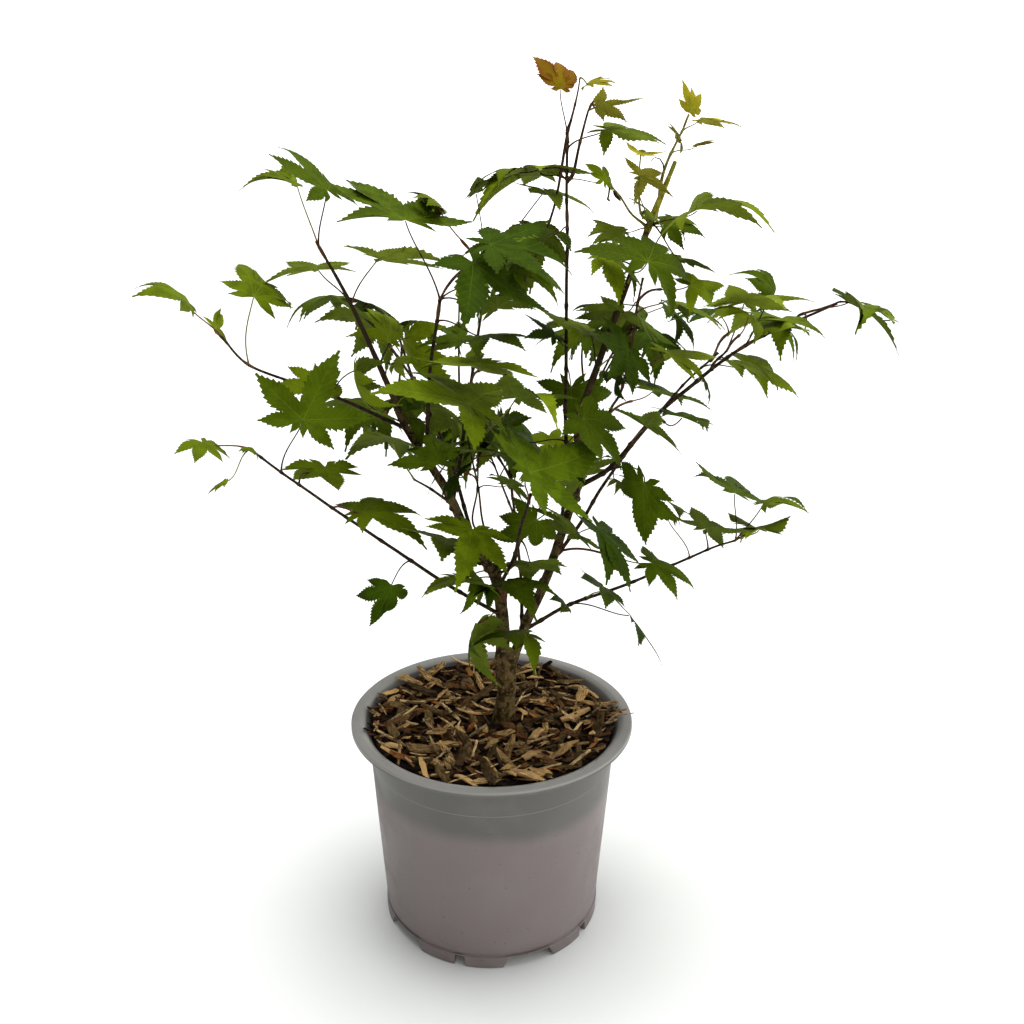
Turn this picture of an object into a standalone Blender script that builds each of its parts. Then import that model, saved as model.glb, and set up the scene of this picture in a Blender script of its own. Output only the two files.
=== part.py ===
"""Young Japanese maple in a round plastic nursery pot: pot, mulched soil, trunk, boughs and leaf masses.

Metres, +Z up. The origin is on the pot's axis, on the surface that the pot stands on.
-Y is the front of the plant.
"""
import math
import random

import bmesh
import bpy
from mathutils import Vector

# Pot
POT_HEIGHT = 0.1468
RIM_RADIUS = 0.0950
RIM_LIP_DROP = 0.0034
RIM_INNER_RADIUS = 0.0885
FLANGE_THICKNESS = 0.0016
WALL_THICKNESS = 0.0018
WALL_RADIUS_LOW = 0.0745
WALL_SLOPE = 0.0710
COLLAR_HEIGHT = 0.1214
COLLAR_STEP = 0.0007
FOOT_HEIGHT = 0.0087
FOOT_RADIUS = 0.0752
FOOT_WIDTH = 0.0040
FLOOR_THICKNESS = 0.0022
FOOT_COUNT = 5
FIRST_NOTCH_DEG = 19.0
WIDE_NOTCH_DEG = 22.5
NARROW_NOTCH_DEG = 5.0
NOTCH_FLARE = 1.22
DRAIN_RADIUS = 0.0045
DRAIN_CIRCLE = 0.052
POT_SEGMENTS = 60

# Soil
MULCH_LEVEL = 0.1390
MULCH_BUMP = 0.0022
SOIL_SEGMENTS = 40

# Crown
CROWN_HALF_WIDTH = 0.2400
CROWN_HALF_DEPTH = 0.1520
CROWN_TOP = 0.5620

# Fits
SEAT = 0.0003
RING_SPACING = 0.017

UP = Vector((0, 0, 1))
FRONT = Vector((0, -1, 0))

# The trunk's foot, its fork and its girth
TRUNK_FOOT = Vector((0.0075, 0.0040, MULCH_LEVEL + SEAT))
TRUNK_FORK = Vector((0.0102, 0.0016, 0.1905))
TRUNK_RADIUS = 0.0058
ROOT_FLARE = 0.0030
FORK_SWELL = 0.0009

# Each limb: what it springs from, its radii at foot and tip, its sides and the places it passes through.
# The two leaders stand side by side on the fork, and every bough springs from the limb that it names.
LIMBS = {
    "leader_left": dict(host="trunk", radii=(0.0038, 0.0008), sides=8, route=[
        (0.0066, 0.0010, 0.1908), (0.0070, 0.0000, 0.2160), (0.0020, -0.0030, 0.2490),
        (-0.0140, -0.0050, 0.2740), (-0.0280, -0.0060, 0.3070), (-0.0540, 0.0000, 0.3480),
        (-0.0620, 0.0030, 0.3680), (-0.0860, 0.0130, 0.4210), (-0.1060, 0.0200, 0.4570)]),
    "leader_right": dict(host="trunk", radii=(0.0034, 0.0011), sides=8, route=[
        (0.0144, 0.0020, 0.1908), (0.0230, 0.0040, 0.2140), (0.0350, 0.0070, 0.2420),
        (0.0480, 0.0100, 0.2830), (0.0550, 0.0100, 0.3080), (0.0540, 0.0060, 0.3500),
        (0.0610, 0.0050, 0.3740), (0.0900, 0.0100, 0.4590), (0.1080, 0.0160, 0.5050)]),
    "bough_low_left": dict(host="leader_left", radii=(0.0013, 0.0007), sides=6, route=[
        (0.0060, -0.0010, 0.2210), (-0.0310, -0.0120, 0.2490), (-0.0840, -0.0280, 0.2950),
        (-0.1160, -0.0420, 0.3240), (-0.1380, -0.0520, 0.3470)]),
    "bough_low_right": dict(host="leader_right", radii=(0.0013, 0.0007), sides=6, route=[
        (0.0215, 0.0040, 0.2080), (0.0540, 0.0060, 0.2260), (0.1010, 0.0140, 0.2410),
        (0.1450, 0.0220, 0.2580), (0.1640, 0.0260, 0.2630)]),
    "bough_far_left": dict(host="leader_left", radii=(0.0014, 0.0007), sides=6, route=[
        (-0.0530, 0.0000, 0.3460), (-0.0940, 0.0160, 0.3610), (-0.1240, 0.0280, 0.3690),
        (-0.1560, 0.0380, 0.3780), (-0.1730, 0.0430, 0.3960)]),
    "bough_upright_left": dict(host="leader_left", radii=(0.0015, 0.0009), sides=6, route=[
        (-0.0370, -0.0040, 0.3210), (-0.0390, -0.0110, 0.3410), (-0.0370, -0.0200, 0.3780),
        (-0.0340, -0.0260, 0.4050), (-0.0300, -0.0300, 0.4290)]),
    "bough_inner": dict(host="leader_left", radii=(0.0014, 0.0008), sides=6, route=[
        (-0.0250, -0.0060, 0.3000), (-0.0190, 0.0040, 0.3310), (-0.0140, 0.0140, 0.3670),
        (-0.0080, 0.0230, 0.4080), (-0.0030, 0.0280, 0.4340)]),
    "bough_tall": dict(host="leader_right", radii=(0.0014, 0.0008), sides=6, route=[
        (0.0535, 0.0100, 0.3000), (0.0480, 0.0190, 0.3320), (0.0470, 0.0220, 0.3760),
        (0.0460, 0.0220, 0.4460), (0.0450, 0.0210, 0.4840), (0.0440, 0.0200, 0.5210)]),
    "bough_right": dict(host="leader_right", radii=(0.0017, 0.0006), sides=6, route=[
        (0.0550, 0.0100, 0.3060), (0.0760, 0.0040, 0.3210), (0.0970, -0.0040, 0.3510),
        (0.1180, -0.0100, 0.3740), (0.1510, -0.0180, 0.4030), (0.1980, -0.0280, 0.4280)]),
    "bough_right_thin": dict(host="leader_right", radii=(0.0014, 0.0007), sides=6, route=[
        (0.0400, 0.0085, 0.2560), (0.0600, 0.0240, 0.2780), (0.0750, 0.0320, 0.3010),
        (0.0990, 0.0420, 0.3330), (0.1310, 0.0500, 0.3670), (0.1500, 0.0540, 0.3850)]),
    "bough_front": dict(host="leader_left", radii=(0.0014, 0.0008), sides=6, route=[
        (0.0040, -0.0020, 0.2400), (0.0120, -0.0260, 0.2680), (0.0160, -0.0480, 0.2960),
        (0.0210, -0.0720, 0.3270)]),
    "bough_back_left": dict(host="leader_left", radii=(0.0014, 0.0008), sides=6, route=[
        (-0.0090, -0.0040, 0.2640), (-0.0280, 0.0400, 0.3160), (-0.0520, 0.0780, 0.3580),
        (-0.0660, 0.1020, 0.3920)]),
    "bough_back_right": dict(host="leader_right", radii=(0.0014, 0.0008), sides=6, route=[
        (0.0420, 0.0085, 0.2640), (0.0560, 0.0540, 0.3120), (0.0700, 0.0840, 0.3520),
        (0.0800, 0.1060, 0.3860)]),
    "bough_back_low": dict(host="leader_right", radii=(0.0013, 0.0008), sides=6, route=[
        (0.0200, 0.0035, 0.2070), (0.0190, 0.0420, 0.2480), (0.0150, 0.0780, 0.2800),
        (0.0120, 0.0960, 0.3020)]),
}

# Each leaf mass: the limb it hangs on, its middle, and its length away from the limb and width across it.
MASSES = {
    "leaves_far_left": dict(host="bough_far_left", middle=(-0.212, 0.052, 0.417), size=(0.054, 0.044)),
    "leaves_left_upper": dict(host="bough_far_left", middle=(-0.148, 0.006, 0.430), size=(0.040, 0.064)),
    "leaves_low_left_tip": dict(host="bough_low_left", middle=(-0.166, -0.060, 0.338), size=(0.046, 0.044)),
    "leaves_left_front": dict(host="bough_low_left", middle=(-0.110, -0.066, 0.372), size=(0.052, 0.072)),
    "leaves_left_low": dict(host="bough_low_left", middle=(-0.083, 0.004, 0.316), size=(0.044, 0.060)),
    "leaves_left_hanging": dict(host="bough_low_left", middle=(-0.070, -0.046, 0.246), size=(0.036, 0.034)),
    "leaves_top_left": dict(host="leader_left", middle=(-0.114, 0.024, 0.492), size=(0.050, 0.074)),
    "leaves_left_middle": dict(host="leader_left", middle=(-0.106, 0.040, 0.415), size=(0.040, 0.060)),
    "leaves_left_inner": dict(host="leader_left", middle=(-0.053, 0.042, 0.398), size=(0.050, 0.064)),
    "leaves_left_heart": dict(host="bough_far_left", middle=(-0.090, -0.026, 0.340), size=(0.052, 0.050)),
    "leaves_upper_left": dict(host="bough_upright_left", middle=(-0.050, -0.016, 0.474), size=(0.052, 0.074)),
    "leaves_upper_front": dict(host="bough_upright_left", middle=(0.000, -0.060, 0.452), size=(0.062, 0.070)),
    "leaves_middle_front": dict(host="bough_upright_left", middle=(-0.002, -0.052, 0.386), size=(0.056, 0.066)),
    "leaves_upper_back": dict(host="bough_inner", middle=(0.004, 0.036, 0.474), size=(0.048, 0.068)),
    "leaves_inner_heart": dict(host="bough_inner", middle=(0.016, 0.040, 0.392), size=(0.048, 0.050)),
    "leaves_crown_tip": dict(host="bough_tall", middle=(0.036, 0.018, 0.546), size=(0.030, 0.040)),
    "leaves_crown_side": dict(host="bough_tall", middle=(0.070, 0.030, 0.520), size=(0.036, 0.044)),
    "leaves_crown_middle": dict(host="bough_tall", middle=(0.014, 0.052, 0.436), size=(0.048, 0.056)),
    "leaves_shoot_tip": dict(host="leader_right", middle=(0.118, 0.018, 0.530), size=(0.034, 0.036)),
    "leaves_shoot_bronze": dict(host="leader_right", middle=(0.074, -0.010, 0.482), size=(0.036, 0.042)),
    "leaves_right_upper": dict(host="leader_right", middle=(0.138, 0.000, 0.470), size=(0.064, 0.050)),
    "leaves_right_shoulder": dict(host="leader_right", middle=(0.090, -0.044, 0.424), size=(0.058, 0.066)),
    "leaves_right_outer": dict(host="bough_right", middle=(0.164, -0.056, 0.436), size=(0.056, 0.066)),
    "leaves_right_tip": dict(host="bough_right", middle=(0.222, -0.034, 0.412), size=(0.036, 0.044)),
    "leaves_right_back": dict(host="bough_right_thin", middle=(0.172, 0.060, 0.404), size=(0.052, 0.070)),
    "leaves_right_heart": dict(host="bough_right_thin", middle=(0.092, 0.078, 0.354), size=(0.050, 0.056)),
    "leaves_right_front": dict(host="bough_right", middle=(0.092, -0.052, 0.326), size=(0.050, 0.054)),
    "leaves_low_right_tip": dict(host="bough_low_right", middle=(0.192, 0.032, 0.280), size=(0.056, 0.060)),
    "leaves_low_right": dict(host="bough_low_right", middle=(0.098, -0.020, 0.262), size=(0.048, 0.056)),
    "leaves_low_right_hanging": dict(host="bough_low_right", middle=(0.096, -0.012, 0.206), size=(0.048, 0.026)),
    "leaves_front": dict(host="bough_front", middle=(0.024, -0.108, 0.350), size=(0.072, 0.080)),
    "leaves_low_front": dict(host="bough_front", middle=(-0.018, -0.062, 0.286), size=(0.050, 0.060)),
    "leaves_low_middle": dict(host="bough_front", middle=(0.052, -0.040, 0.286), size=(0.050, 0.050)),
    "leaves_foot": dict(host="leader_left", middle=(-0.010, -0.036, 0.216), size=(0.050, 0.046)),
    "leaves_back_left": dict(host="bough_back_left", middle=(-0.080, 0.126, 0.410), size=(0.058, 0.080)),
    "leaves_back_right": dict(host="bough_back_right", middle=(0.092, 0.126, 0.404), size=(0.056, 0.080)),
    "leaves_back": dict(host="bough_back_low", middle=(0.008, 0.122, 0.320), size=(0.060, 0.080)),
    "leaves_back_side": dict(host="bough_back_left", middle=(-0.078, 0.066, 0.330), size=(0.050, 0.056)),
}

PARASOLS = ("leaves_top_left", "leaves_upper_left", "leaves_upper_back")
LEAF_POINTS = 9
MASS_THICKNESS = 0.0085
MASS_DROOP = 0.22
# What each outermost mass reaches: the axis, the side of it and how far out
REACHES = {
    "leaves_far_left": (0, -1, CROWN_HALF_WIDTH),
    "leaves_right_tip": (0, 1, CROWN_HALF_WIDTH),
    "leaves_front": (1, -1, CROWN_HALF_DEPTH),
    "leaves_back_left": (1, 1, CROWN_HALF_DEPTH),
    "leaves_crown_tip": (2, 1, CROWN_TOP),
}

POT_COLOR = (0.235, 0.215, 0.205, 1.0)
MULCH_COLOR = (0.120, 0.070, 0.038, 1.0)
BARK_COLOR = (0.085, 0.062, 0.034, 1.0)
TWIG_COLOR = (0.050, 0.026, 0.020, 1.0)
LEAF_COLOR = (0.060, 0.110, 0.010, 1.0)
NEW_LEAF_COLOR = (0.240, 0.170, 0.020, 1.0)
NEW_GROWTH = ("leaves_crown_tip", "leaves_crown_side", "leaves_shoot_tip", "leaves_shoot_bronze")


def clear_scene():
    for existing in list(bpy.data.objects):
        bpy.data.objects.remove(existing, do_unlink=True)


def make_material(name, color, roughness):
    material = bpy.data.materials.new(name)
    material.use_nodes = True
    shader = material.node_tree.nodes["Principled BSDF"]
    shader.inputs["Base Color"].default_value = color
    shader.inputs["Roughness"].default_value = roughness
    shader.inputs["Metallic"].default_value = 0.0
    return material


def add_object(name, points, faces, color, roughness=0.6):
    """One closed body with its own material, its faces turned outward."""
    mesh = bpy.data.meshes.new(name)
    mesh.from_pydata([tuple(point) for point in points], [], faces)
    shape = bmesh.new()
    shape.from_mesh(mesh)
    bmesh.ops.recalc_face_normals(shape, faces=shape.faces)
    shape.to_mesh(mesh)
    shape.free()
    mesh.materials.append(make_material(name, color, roughness))
    placed = bpy.data.objects.new(name, mesh)
    bpy.context.collection.objects.link(placed)
    return placed


def turned_shape(profile, segments):
    """Points and faces of an open profile of (radius, height), turned about Z; both its ends lie on the axis."""
    points = [Vector((0, 0, profile[0][1]))]
    for radius, height in profile[1:-1]:
        for step in range(segments):
            angle = 2 * math.pi * step / segments
            points.append(Vector((radius * math.cos(angle), radius * math.sin(angle), height)))
    points.append(Vector((0, 0, profile[-1][1])))
    faces = []
    rings = len(profile) - 2
    last = len(points) - 1
    for step in range(segments):
        following = (step + 1) % segments
        faces.append((0, 1 + following, 1 + step))
        for ring in range(rings - 1):
            low = 1 + ring * segments
            high = low + segments
            faces.append((low + step, low + following, high + following, high + step))
        top = 1 + (rings - 1) * segments
        faces.append((top + step, top + following, last))
    return points, faces


def wall_radius(height):
    """Outer radius of the pot's tapering wall, below the collar's small step."""
    return WALL_RADIUS_LOW + WALL_SLOPE * (height - FOOT_HEIGHT)


def pot_profile():
    """From the underside of the floor, out round the foot, up the wall, over the rim and down inside."""
    foot_inner = FOOT_RADIUS - FOOT_WIDTH
    chamfer = 0.0006
    flange_under = POT_HEIGHT - FLANGE_THICKNESS
    lip_bottom = POT_HEIGHT - RIM_LIP_DROP
    collar_radius = wall_radius(COLLAR_HEIGHT) + COLLAR_STEP
    neck_radius = wall_radius(flange_under) + COLLAR_STEP
    outside = [
        (0, FOOT_HEIGHT),
        (foot_inner, FOOT_HEIGHT),
        (foot_inner, chamfer),
        (foot_inner + chamfer, 0),
        (FOOT_RADIUS - chamfer, 0),
        (FOOT_RADIUS, chamfer),
        (FOOT_RADIUS, FOOT_HEIGHT - 2 * chamfer),
        (FOOT_RADIUS - 0.0012, FOOT_HEIGHT - chamfer),
        (FOOT_RADIUS - 0.0009, FOOT_HEIGHT + chamfer),
        (wall_radius(0.0120) + chamfer, 0.0120),
        (wall_radius(COLLAR_HEIGHT), COLLAR_HEIGHT),
        (collar_radius, COLLAR_HEIGHT + COLLAR_STEP),
        (neck_radius, flange_under),
        (RIM_RADIUS - FLANGE_THICKNESS, flange_under),
        (RIM_RADIUS - FLANGE_THICKNESS, lip_bottom),
        (RIM_RADIUS, lip_bottom),
        (RIM_RADIUS, POT_HEIGHT - 2 * chamfer),
        (RIM_RADIUS - 2 * chamfer, POT_HEIGHT),
    ]
    inside = [
        (RIM_INNER_RADIUS, POT_HEIGHT),
        (RIM_INNER_RADIUS - 0.0032, POT_HEIGHT - 0.0018),
        (inner_radius(0.1400), 0.1400),
        (inner_radius(FOOT_HEIGHT + FLOOR_THICKNESS), FOOT_HEIGHT + FLOOR_THICKNESS),
        (0, FOOT_HEIGHT + FLOOR_THICKNESS),
    ]
    return outside + inside


def inner_radius(height):
    return wall_radius(height) - WALL_THICKNESS


def cut_away(target, points, faces):
    """Cut one closed shape out of an object."""
    cutter = add_object("cutter", points, faces, POT_COLOR)
    boolean = target.modifiers.new("cut", "BOOLEAN")
    boolean.operation = "DIFFERENCE"
    boolean.object = cutter
    depsgraph = bpy.context.evaluated_depsgraph_get()
    cut_mesh = bpy.data.meshes.new_from_object(target.evaluated_get(depsgraph))
    target.modifiers.remove(boolean)
    target.data = cut_mesh
    bpy.data.objects.remove(cutter, do_unlink=True)


def notch_shape(centre_deg, width_deg):
    """A radial wedge through the foot ring, wider at the ground than at the top."""
    points = []
    for radius in (FOOT_RADIUS - 2 * FOOT_WIDTH, FOOT_RADIUS + FOOT_WIDTH):
        for height, flare in ((-0.002, NOTCH_FLARE), (FOOT_HEIGHT - 0.0012, 1.0)):
            for side in (-1, 1):
                angle = math.radians(centre_deg - 90 + side * flare * width_deg / 2)
                points.append(Vector((radius * math.cos(angle), radius * math.sin(angle), height)))
    faces = [(0, 1, 3, 2), (4, 6, 7, 5), (0, 4, 5, 1), (2, 3, 7, 6), (0, 2, 6, 4), (1, 5, 7, 3)]
    return points, faces


def drain_shape(angle_deg):
    sides = 12
    centre = Vector((DRAIN_CIRCLE * math.cos(math.radians(angle_deg)),
                     DRAIN_CIRCLE * math.sin(math.radians(angle_deg)), 0))
    profile = [(0, 0.004), (DRAIN_RADIUS, 0.004), (DRAIN_RADIUS, 0.016), (0, 0.016)]
    points, faces = turned_shape(profile, sides)
    return [point + centre for point in points], faces


def build_pot():
    points, faces = turned_shape(pot_profile(), POT_SEGMENTS)
    pot = add_object("pot", points, faces, POT_COLOR, 0.55)
    pitch = 360 / FOOT_COUNT
    for index in range(FOOT_COUNT):
        cut_away(pot, *notch_shape(FIRST_NOTCH_DEG + index * pitch, WIDE_NOTCH_DEG))
        cut_away(pot, *notch_shape(FIRST_NOTCH_DEG + (index + 0.5) * pitch, NARROW_NOTCH_DEG))
        cut_away(pot, *drain_shape(FIRST_NOTCH_DEG + index * pitch))


def mulch_height(x, y, dice):
    """The mulch is uneven, but level where the trunk rises out of it."""
    from_trunk = math.hypot(x - TRUNK_FOOT.x, y - TRUNK_FOOT.y)
    fade = min(max((from_trunk - 0.030) / 0.015, 0), 1)
    return MULCH_LEVEL + fade * dice.uniform(-MULCH_BUMP, MULCH_BUMP)


def build_soil():
    floor = FOOT_HEIGHT + FLOOR_THICKNESS + SEAT
    edge = MULCH_LEVEL - 0.0020
    clearance = 2.5 * SEAT
    profile = [(0, floor), (inner_radius(floor) - clearance, floor), (inner_radius(edge) - clearance, edge)]
    top_radii = (0.0780, 0.0660, 0.0480, 0.0220)
    profile += [(radius, MULCH_LEVEL) for radius in top_radii] + [(0, MULCH_LEVEL)]
    points, faces = turned_shape(profile, SOIL_SEGMENTS)
    dice = random.Random(3)
    for point in points:
        if point.z == MULCH_LEVEL:
            point.z = mulch_height(point.x, point.y, dice)
    add_object("mulched_soil", points, faces, MULCH_COLOR, 0.95)


def smooth_route(places, spacing):
    """Even points and unit directions along a smooth curve through the given places."""
    places = [Vector(place) for place in places]
    ends = [2 * places[0] - places[1]] + places + [2 * places[-1] - places[-2]]
    line = []
    for index in range(1, len(ends) - 2):
        before, start, end, after = ends[index - 1:index + 3]
        steps = max(2, round((end - start).length / spacing))
        for step in range(steps):
            t = step / steps
            line.append(0.5 * (2 * start + (end - before) * t
                               + (2 * before - 5 * start + 4 * end - after) * t ** 2
                               + (3 * start - before - 3 * end + after) * t ** 3))
    line.append(places[-1])
    directions = [(line[min(i + 1, len(line) - 1)] - line[max(i - 1, 0)]).normalized()
                  for i in range(len(line))]
    return line, directions


def tube_shape(line, directions, radii, sides):
    """A closed tube of many-sided rings, with a flat cap at each end."""
    across = directions[0].orthogonal().normalized()
    points = []
    for place, direction, radius in zip(line, directions, radii):
        across = (across - direction * across.dot(direction)).normalized()
        beside = direction.cross(across)
        for side in range(sides):
            angle = 2 * math.pi * side / sides
            points.append(place + radius * (math.cos(angle) * across + math.sin(angle) * beside))
    faces = [tuple(range(sides))]
    for ring in range(len(line) - 1):
        for side in range(sides):
            following = (side + 1) % sides
            low = ring * sides
            high = low + sides
            faces.append((low + side, low + following, high + following, high + side))
    faces.append(tuple((len(line) - 1) * sides + side for side in range(sides)))
    return points, faces


def cut_foot(points, sides, direction, plane_point, plane_normal):
    """Slide a tube's first ring along its direction onto the plane that it springs from."""
    for side in range(sides):
        distance = (plane_point - points[side]).dot(plane_normal) / direction.dot(plane_normal)
        points[side] = points[side] + direction * distance


def nearest_on(limb, place):
    """Index of the point of a built limb's line that is nearest to a place."""
    return min(range(len(limb["line"])), key=lambda i: (limb["line"][i] - place).length)


def build_trunk():
    lean = TRUNK_FORK - TRUNK_FOOT
    steps = 7
    line = [TRUNK_FOOT + lean * step / steps for step in range(steps + 1)]
    line = [place + Vector((0.0006 * math.sin(3 * place.z / lean.z), 0, 0)) for place in line]
    directions = [UP] * len(line)
    radii = []
    for step in range(steps + 1):
        along = step / steps
        radii.append(TRUNK_RADIUS + ROOT_FLARE * (1 - along) ** 5 + FORK_SWELL * along ** 3)
    sides = 12
    points, faces = tube_shape(line, directions, radii, sides)
    add_object("trunk", points, faces, BARK_COLOR, 0.85)


def build_limb(name, limb, limbs_built):
    """A leader stands on the trunk's level fork; a bough starts a seat's width from its host's side."""
    spacing = RING_SPACING
    if limb["host"] == "trunk":
        line, directions = smooth_route(limb["route"], spacing)
        plane_point = Vector(limb["route"][0])
        plane_normal = UP
    else:
        host = limbs_built[limb["host"]]
        root = nearest_on(host, Vector(limb["route"][0]))
        origin = host["line"][root]
        leaving = (Vector(limb["route"][1]) - origin).normalized()
        host_direction = host["directions"][root]
        plane_normal = (leaving - host_direction * leaving.dot(host_direction)).normalized()
        clearance = host["radii"][root] + 1.6 * SEAT
        plane_point = origin + plane_normal * clearance
        start = origin + leaving * (clearance / leaving.dot(plane_normal))
        line, directions = smooth_route([start] + limb["route"][1:], spacing)
    count = len(line)
    foot, tip = limb["radii"]
    radii = [foot + (tip - foot) * (index / (count - 1)) ** 0.8 for index in range(count)]
    points, faces = tube_shape(line, directions, radii, limb["sides"])
    cut_foot(points, limb["sides"], directions[0], plane_point, plane_normal)
    color = BARK_COLOR if limb["host"] == "trunk" else TWIG_COLOR
    add_object(name, points, faces, color, 0.7)
    return {"line": line, "directions": directions, "radii": radii}


def stalk_seat(host, middle):
    """Where a mass meets its limb: past the tip's cap, on its own side, or beside the nearest point."""
    index = nearest_on(host, middle)
    place = host["line"][index]
    direction = host["directions"][index]
    outward = middle - place
    outward = (outward - direction * outward.dot(direction)).normalized()
    if index == len(host["line"]) - 1:
        return place + direction * SEAT + outward * 0.8 * host["radii"][index]
    return place + outward * (host["radii"][index] + SEAT)


def build_mass(name, mass, limbs_built):
    """A thin, drooping, ragged pad with one lobe for each leaf tip, pointed where its stalks meet the limb.

    A parasol lies level over the tip of its limb, with its stalks gathered to a point below its middle.
    """
    dice = random.Random(name)
    middle = Vector(mass["middle"])
    stalk = stalk_seat(limbs_built[mass["host"]], middle)
    stalk_length = (middle - stalk).length
    on_top = name in PARASOLS
    forward = FRONT if on_top else (middle - stalk).normalized()
    facing = FRONT if abs(forward.z) > 0.75 else UP
    thick = (facing - forward * facing.dot(forward)).normalized()
    sideways = thick.cross(forward)
    half_length, half_width = mass["size"][0] / 2, mass["size"][1] / 2
    count = 2 * LEAF_POINTS
    outline = []
    for index in range(count):
        angle = 2 * math.pi * index / count
        notch = 1.0 if index % 2 == 0 else dice.uniform(0.66, 0.82)
        uneven = notch * dice.uniform(0.86, 1.06)
        outline.append((half_length * uneven * math.cos(angle), half_width * uneven * math.sin(angle)))
    if not on_top:
        outline[count // 2] = (-stalk_length, 0)

    def place(along, across, lift):
        if on_top:
            fall = math.hypot(along / half_length, across / half_width)
        else:
            fall = (stalk_length + along) / (stalk_length + half_length)
        droop = MASS_DROOP * half_length * 2 * fall ** 2 if thick.z > 0.3 else 0
        return middle + forward * along + sideways * across + thick * lift - UP * droop

    points = [place(along, across, 0) for along, across in outline]
    for side in (1, -1):
        inset = 0.30 if on_top and side < 0 else 0.52
        for along, across in outline:
            lift = side * MASS_THICKNESS / 2 * dice.uniform(0.55, 0.95)
            points.append(place(inset * along, inset * across, lift))
        points.append(place(0, 0, side * MASS_THICKNESS / 2))
    if on_top:
        points[-1] = stalk
    faces = []
    for side, first in enumerate((count, 2 * count + 1)):
        centre = first + count
        for index in range(count):
            following = (index + 1) % count
            ring = (index, following, first + following, first + index)
            cap = (first + index, first + following, centre)
            faces.append(ring if side == 0 else ring[::-1])
            faces.append(cap if side == 0 else cap[::-1])
    if name in REACHES:
        stretch(points, stalk, *REACHES[name])
    color = NEW_LEAF_COLOR if name in NEW_GROWTH else LEAF_COLOR
    add_object(name, points, faces, color, 0.5)


def stretch(points, fixed, axis, side, target):
    """Stretch a mass along one axis, from its stalk, until it reaches just as far out as it should."""
    furthest = max(side * point[axis] for point in points)
    factor = (target - side * fixed[axis]) / (furthest - side * fixed[axis])
    for point in points:
        point[axis] = fixed[axis] + (point[axis] - fixed[axis]) * factor


def build_plant():
    build_trunk()
    limbs_built = {}
    for name, limb in LIMBS.items():
        limbs_built[name] = build_limb(name, limb, limbs_built)
    for name, mass in MASSES.items():
        build_mass(name, mass, limbs_built)


clear_scene()
build_pot()
build_soil()
build_plant()
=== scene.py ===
import math
import random

import bmesh
import bpy
from mathutils import Matrix, Vector, noise


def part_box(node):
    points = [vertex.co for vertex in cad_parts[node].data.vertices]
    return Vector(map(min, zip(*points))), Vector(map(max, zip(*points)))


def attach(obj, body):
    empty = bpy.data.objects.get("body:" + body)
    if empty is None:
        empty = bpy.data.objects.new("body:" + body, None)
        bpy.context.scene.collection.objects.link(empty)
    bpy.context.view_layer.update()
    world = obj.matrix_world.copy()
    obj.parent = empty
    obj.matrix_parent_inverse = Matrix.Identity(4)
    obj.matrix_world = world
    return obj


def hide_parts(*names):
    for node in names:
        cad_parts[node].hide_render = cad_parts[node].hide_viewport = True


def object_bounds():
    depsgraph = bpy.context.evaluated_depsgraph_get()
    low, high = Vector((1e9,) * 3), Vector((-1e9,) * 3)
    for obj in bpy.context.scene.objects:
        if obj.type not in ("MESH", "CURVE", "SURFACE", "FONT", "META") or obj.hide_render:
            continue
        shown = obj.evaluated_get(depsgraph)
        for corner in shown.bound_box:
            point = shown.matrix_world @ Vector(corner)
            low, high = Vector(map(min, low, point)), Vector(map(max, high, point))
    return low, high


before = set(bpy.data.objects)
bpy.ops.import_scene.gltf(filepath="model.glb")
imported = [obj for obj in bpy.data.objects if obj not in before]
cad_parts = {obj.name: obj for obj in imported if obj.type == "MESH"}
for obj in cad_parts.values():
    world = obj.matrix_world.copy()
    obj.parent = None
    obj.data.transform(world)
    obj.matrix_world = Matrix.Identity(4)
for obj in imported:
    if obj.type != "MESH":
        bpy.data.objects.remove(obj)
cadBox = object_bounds()
up = Vector((0, 0, 1))
noise.seed_set(1)  # without it, noise vectors start from the clock


def mixed(low, high, share):
    return low + (high - low) * share


def stepRead(knots, place):  # straight lines between (place, value) knots
    for (lowPlace, lowValue), (highPlace, highValue) in zip(knots, knots[1:]):
        if place <= highPlace:
            return mixed(lowValue, highValue, max(0, (place - lowPlace) / (highPlace - lowPlace)))
    return knots[-1][1]


def heading(turn, lift):  # unit vector; turn 0 faces the plant's front, 90 its right
    turn, lift = math.radians(turn), math.radians(lift)
    return Vector((math.sin(turn) * math.cos(lift), -math.cos(turn) * math.cos(lift), math.sin(lift)))


# node trees
def fillSocket(tree, socket, value):
    if isinstance(value, bpy.types.NodeSocket):
        tree.links.new(value, socket)
    else:
        socket.default_value = value


def addNode(tree, kind, inputs=None, **settings):
    node = tree.nodes.new(kind)
    for name, value in settings.items():
        setattr(node, name, value)
    for name, value in (inputs or {}).items():
        fillSocket(tree, node.inputs[name], value)
    return node


def mixColour(tree, share, first, second):
    node = addNode(tree, "ShaderNodeMix", {0: share}, data_type="RGBA")
    for index, value in ((6, first), (7, second)):
        fillSocket(tree, node.inputs[index], (*value, 1) if isinstance(value, tuple) else value)
    return node.outputs[2]


def sums(tree, how, *values, clamp=False):
    return addNode(tree, "ShaderNodeMath", dict(enumerate(values)), operation=how, use_clamp=clamp).outputs[0]


def spread(tree, value, low, high, toLow=0.0, toHigh=1.0):
    limits = {"Value": value, "From Min": low, "From Max": high, "To Min": toLow, "To Max": toHigh}
    return addNode(tree, "ShaderNodeMapRange", limits, interpolation_type="SMOOTHSTEP").outputs["Result"]


def layOver(tree, base, colour, value, low, high, strength=1.0):  # colour over base as value goes from low to high
    return mixColour(tree, spread(tree, value, low, high, 0.0, strength), base, colour)


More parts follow.
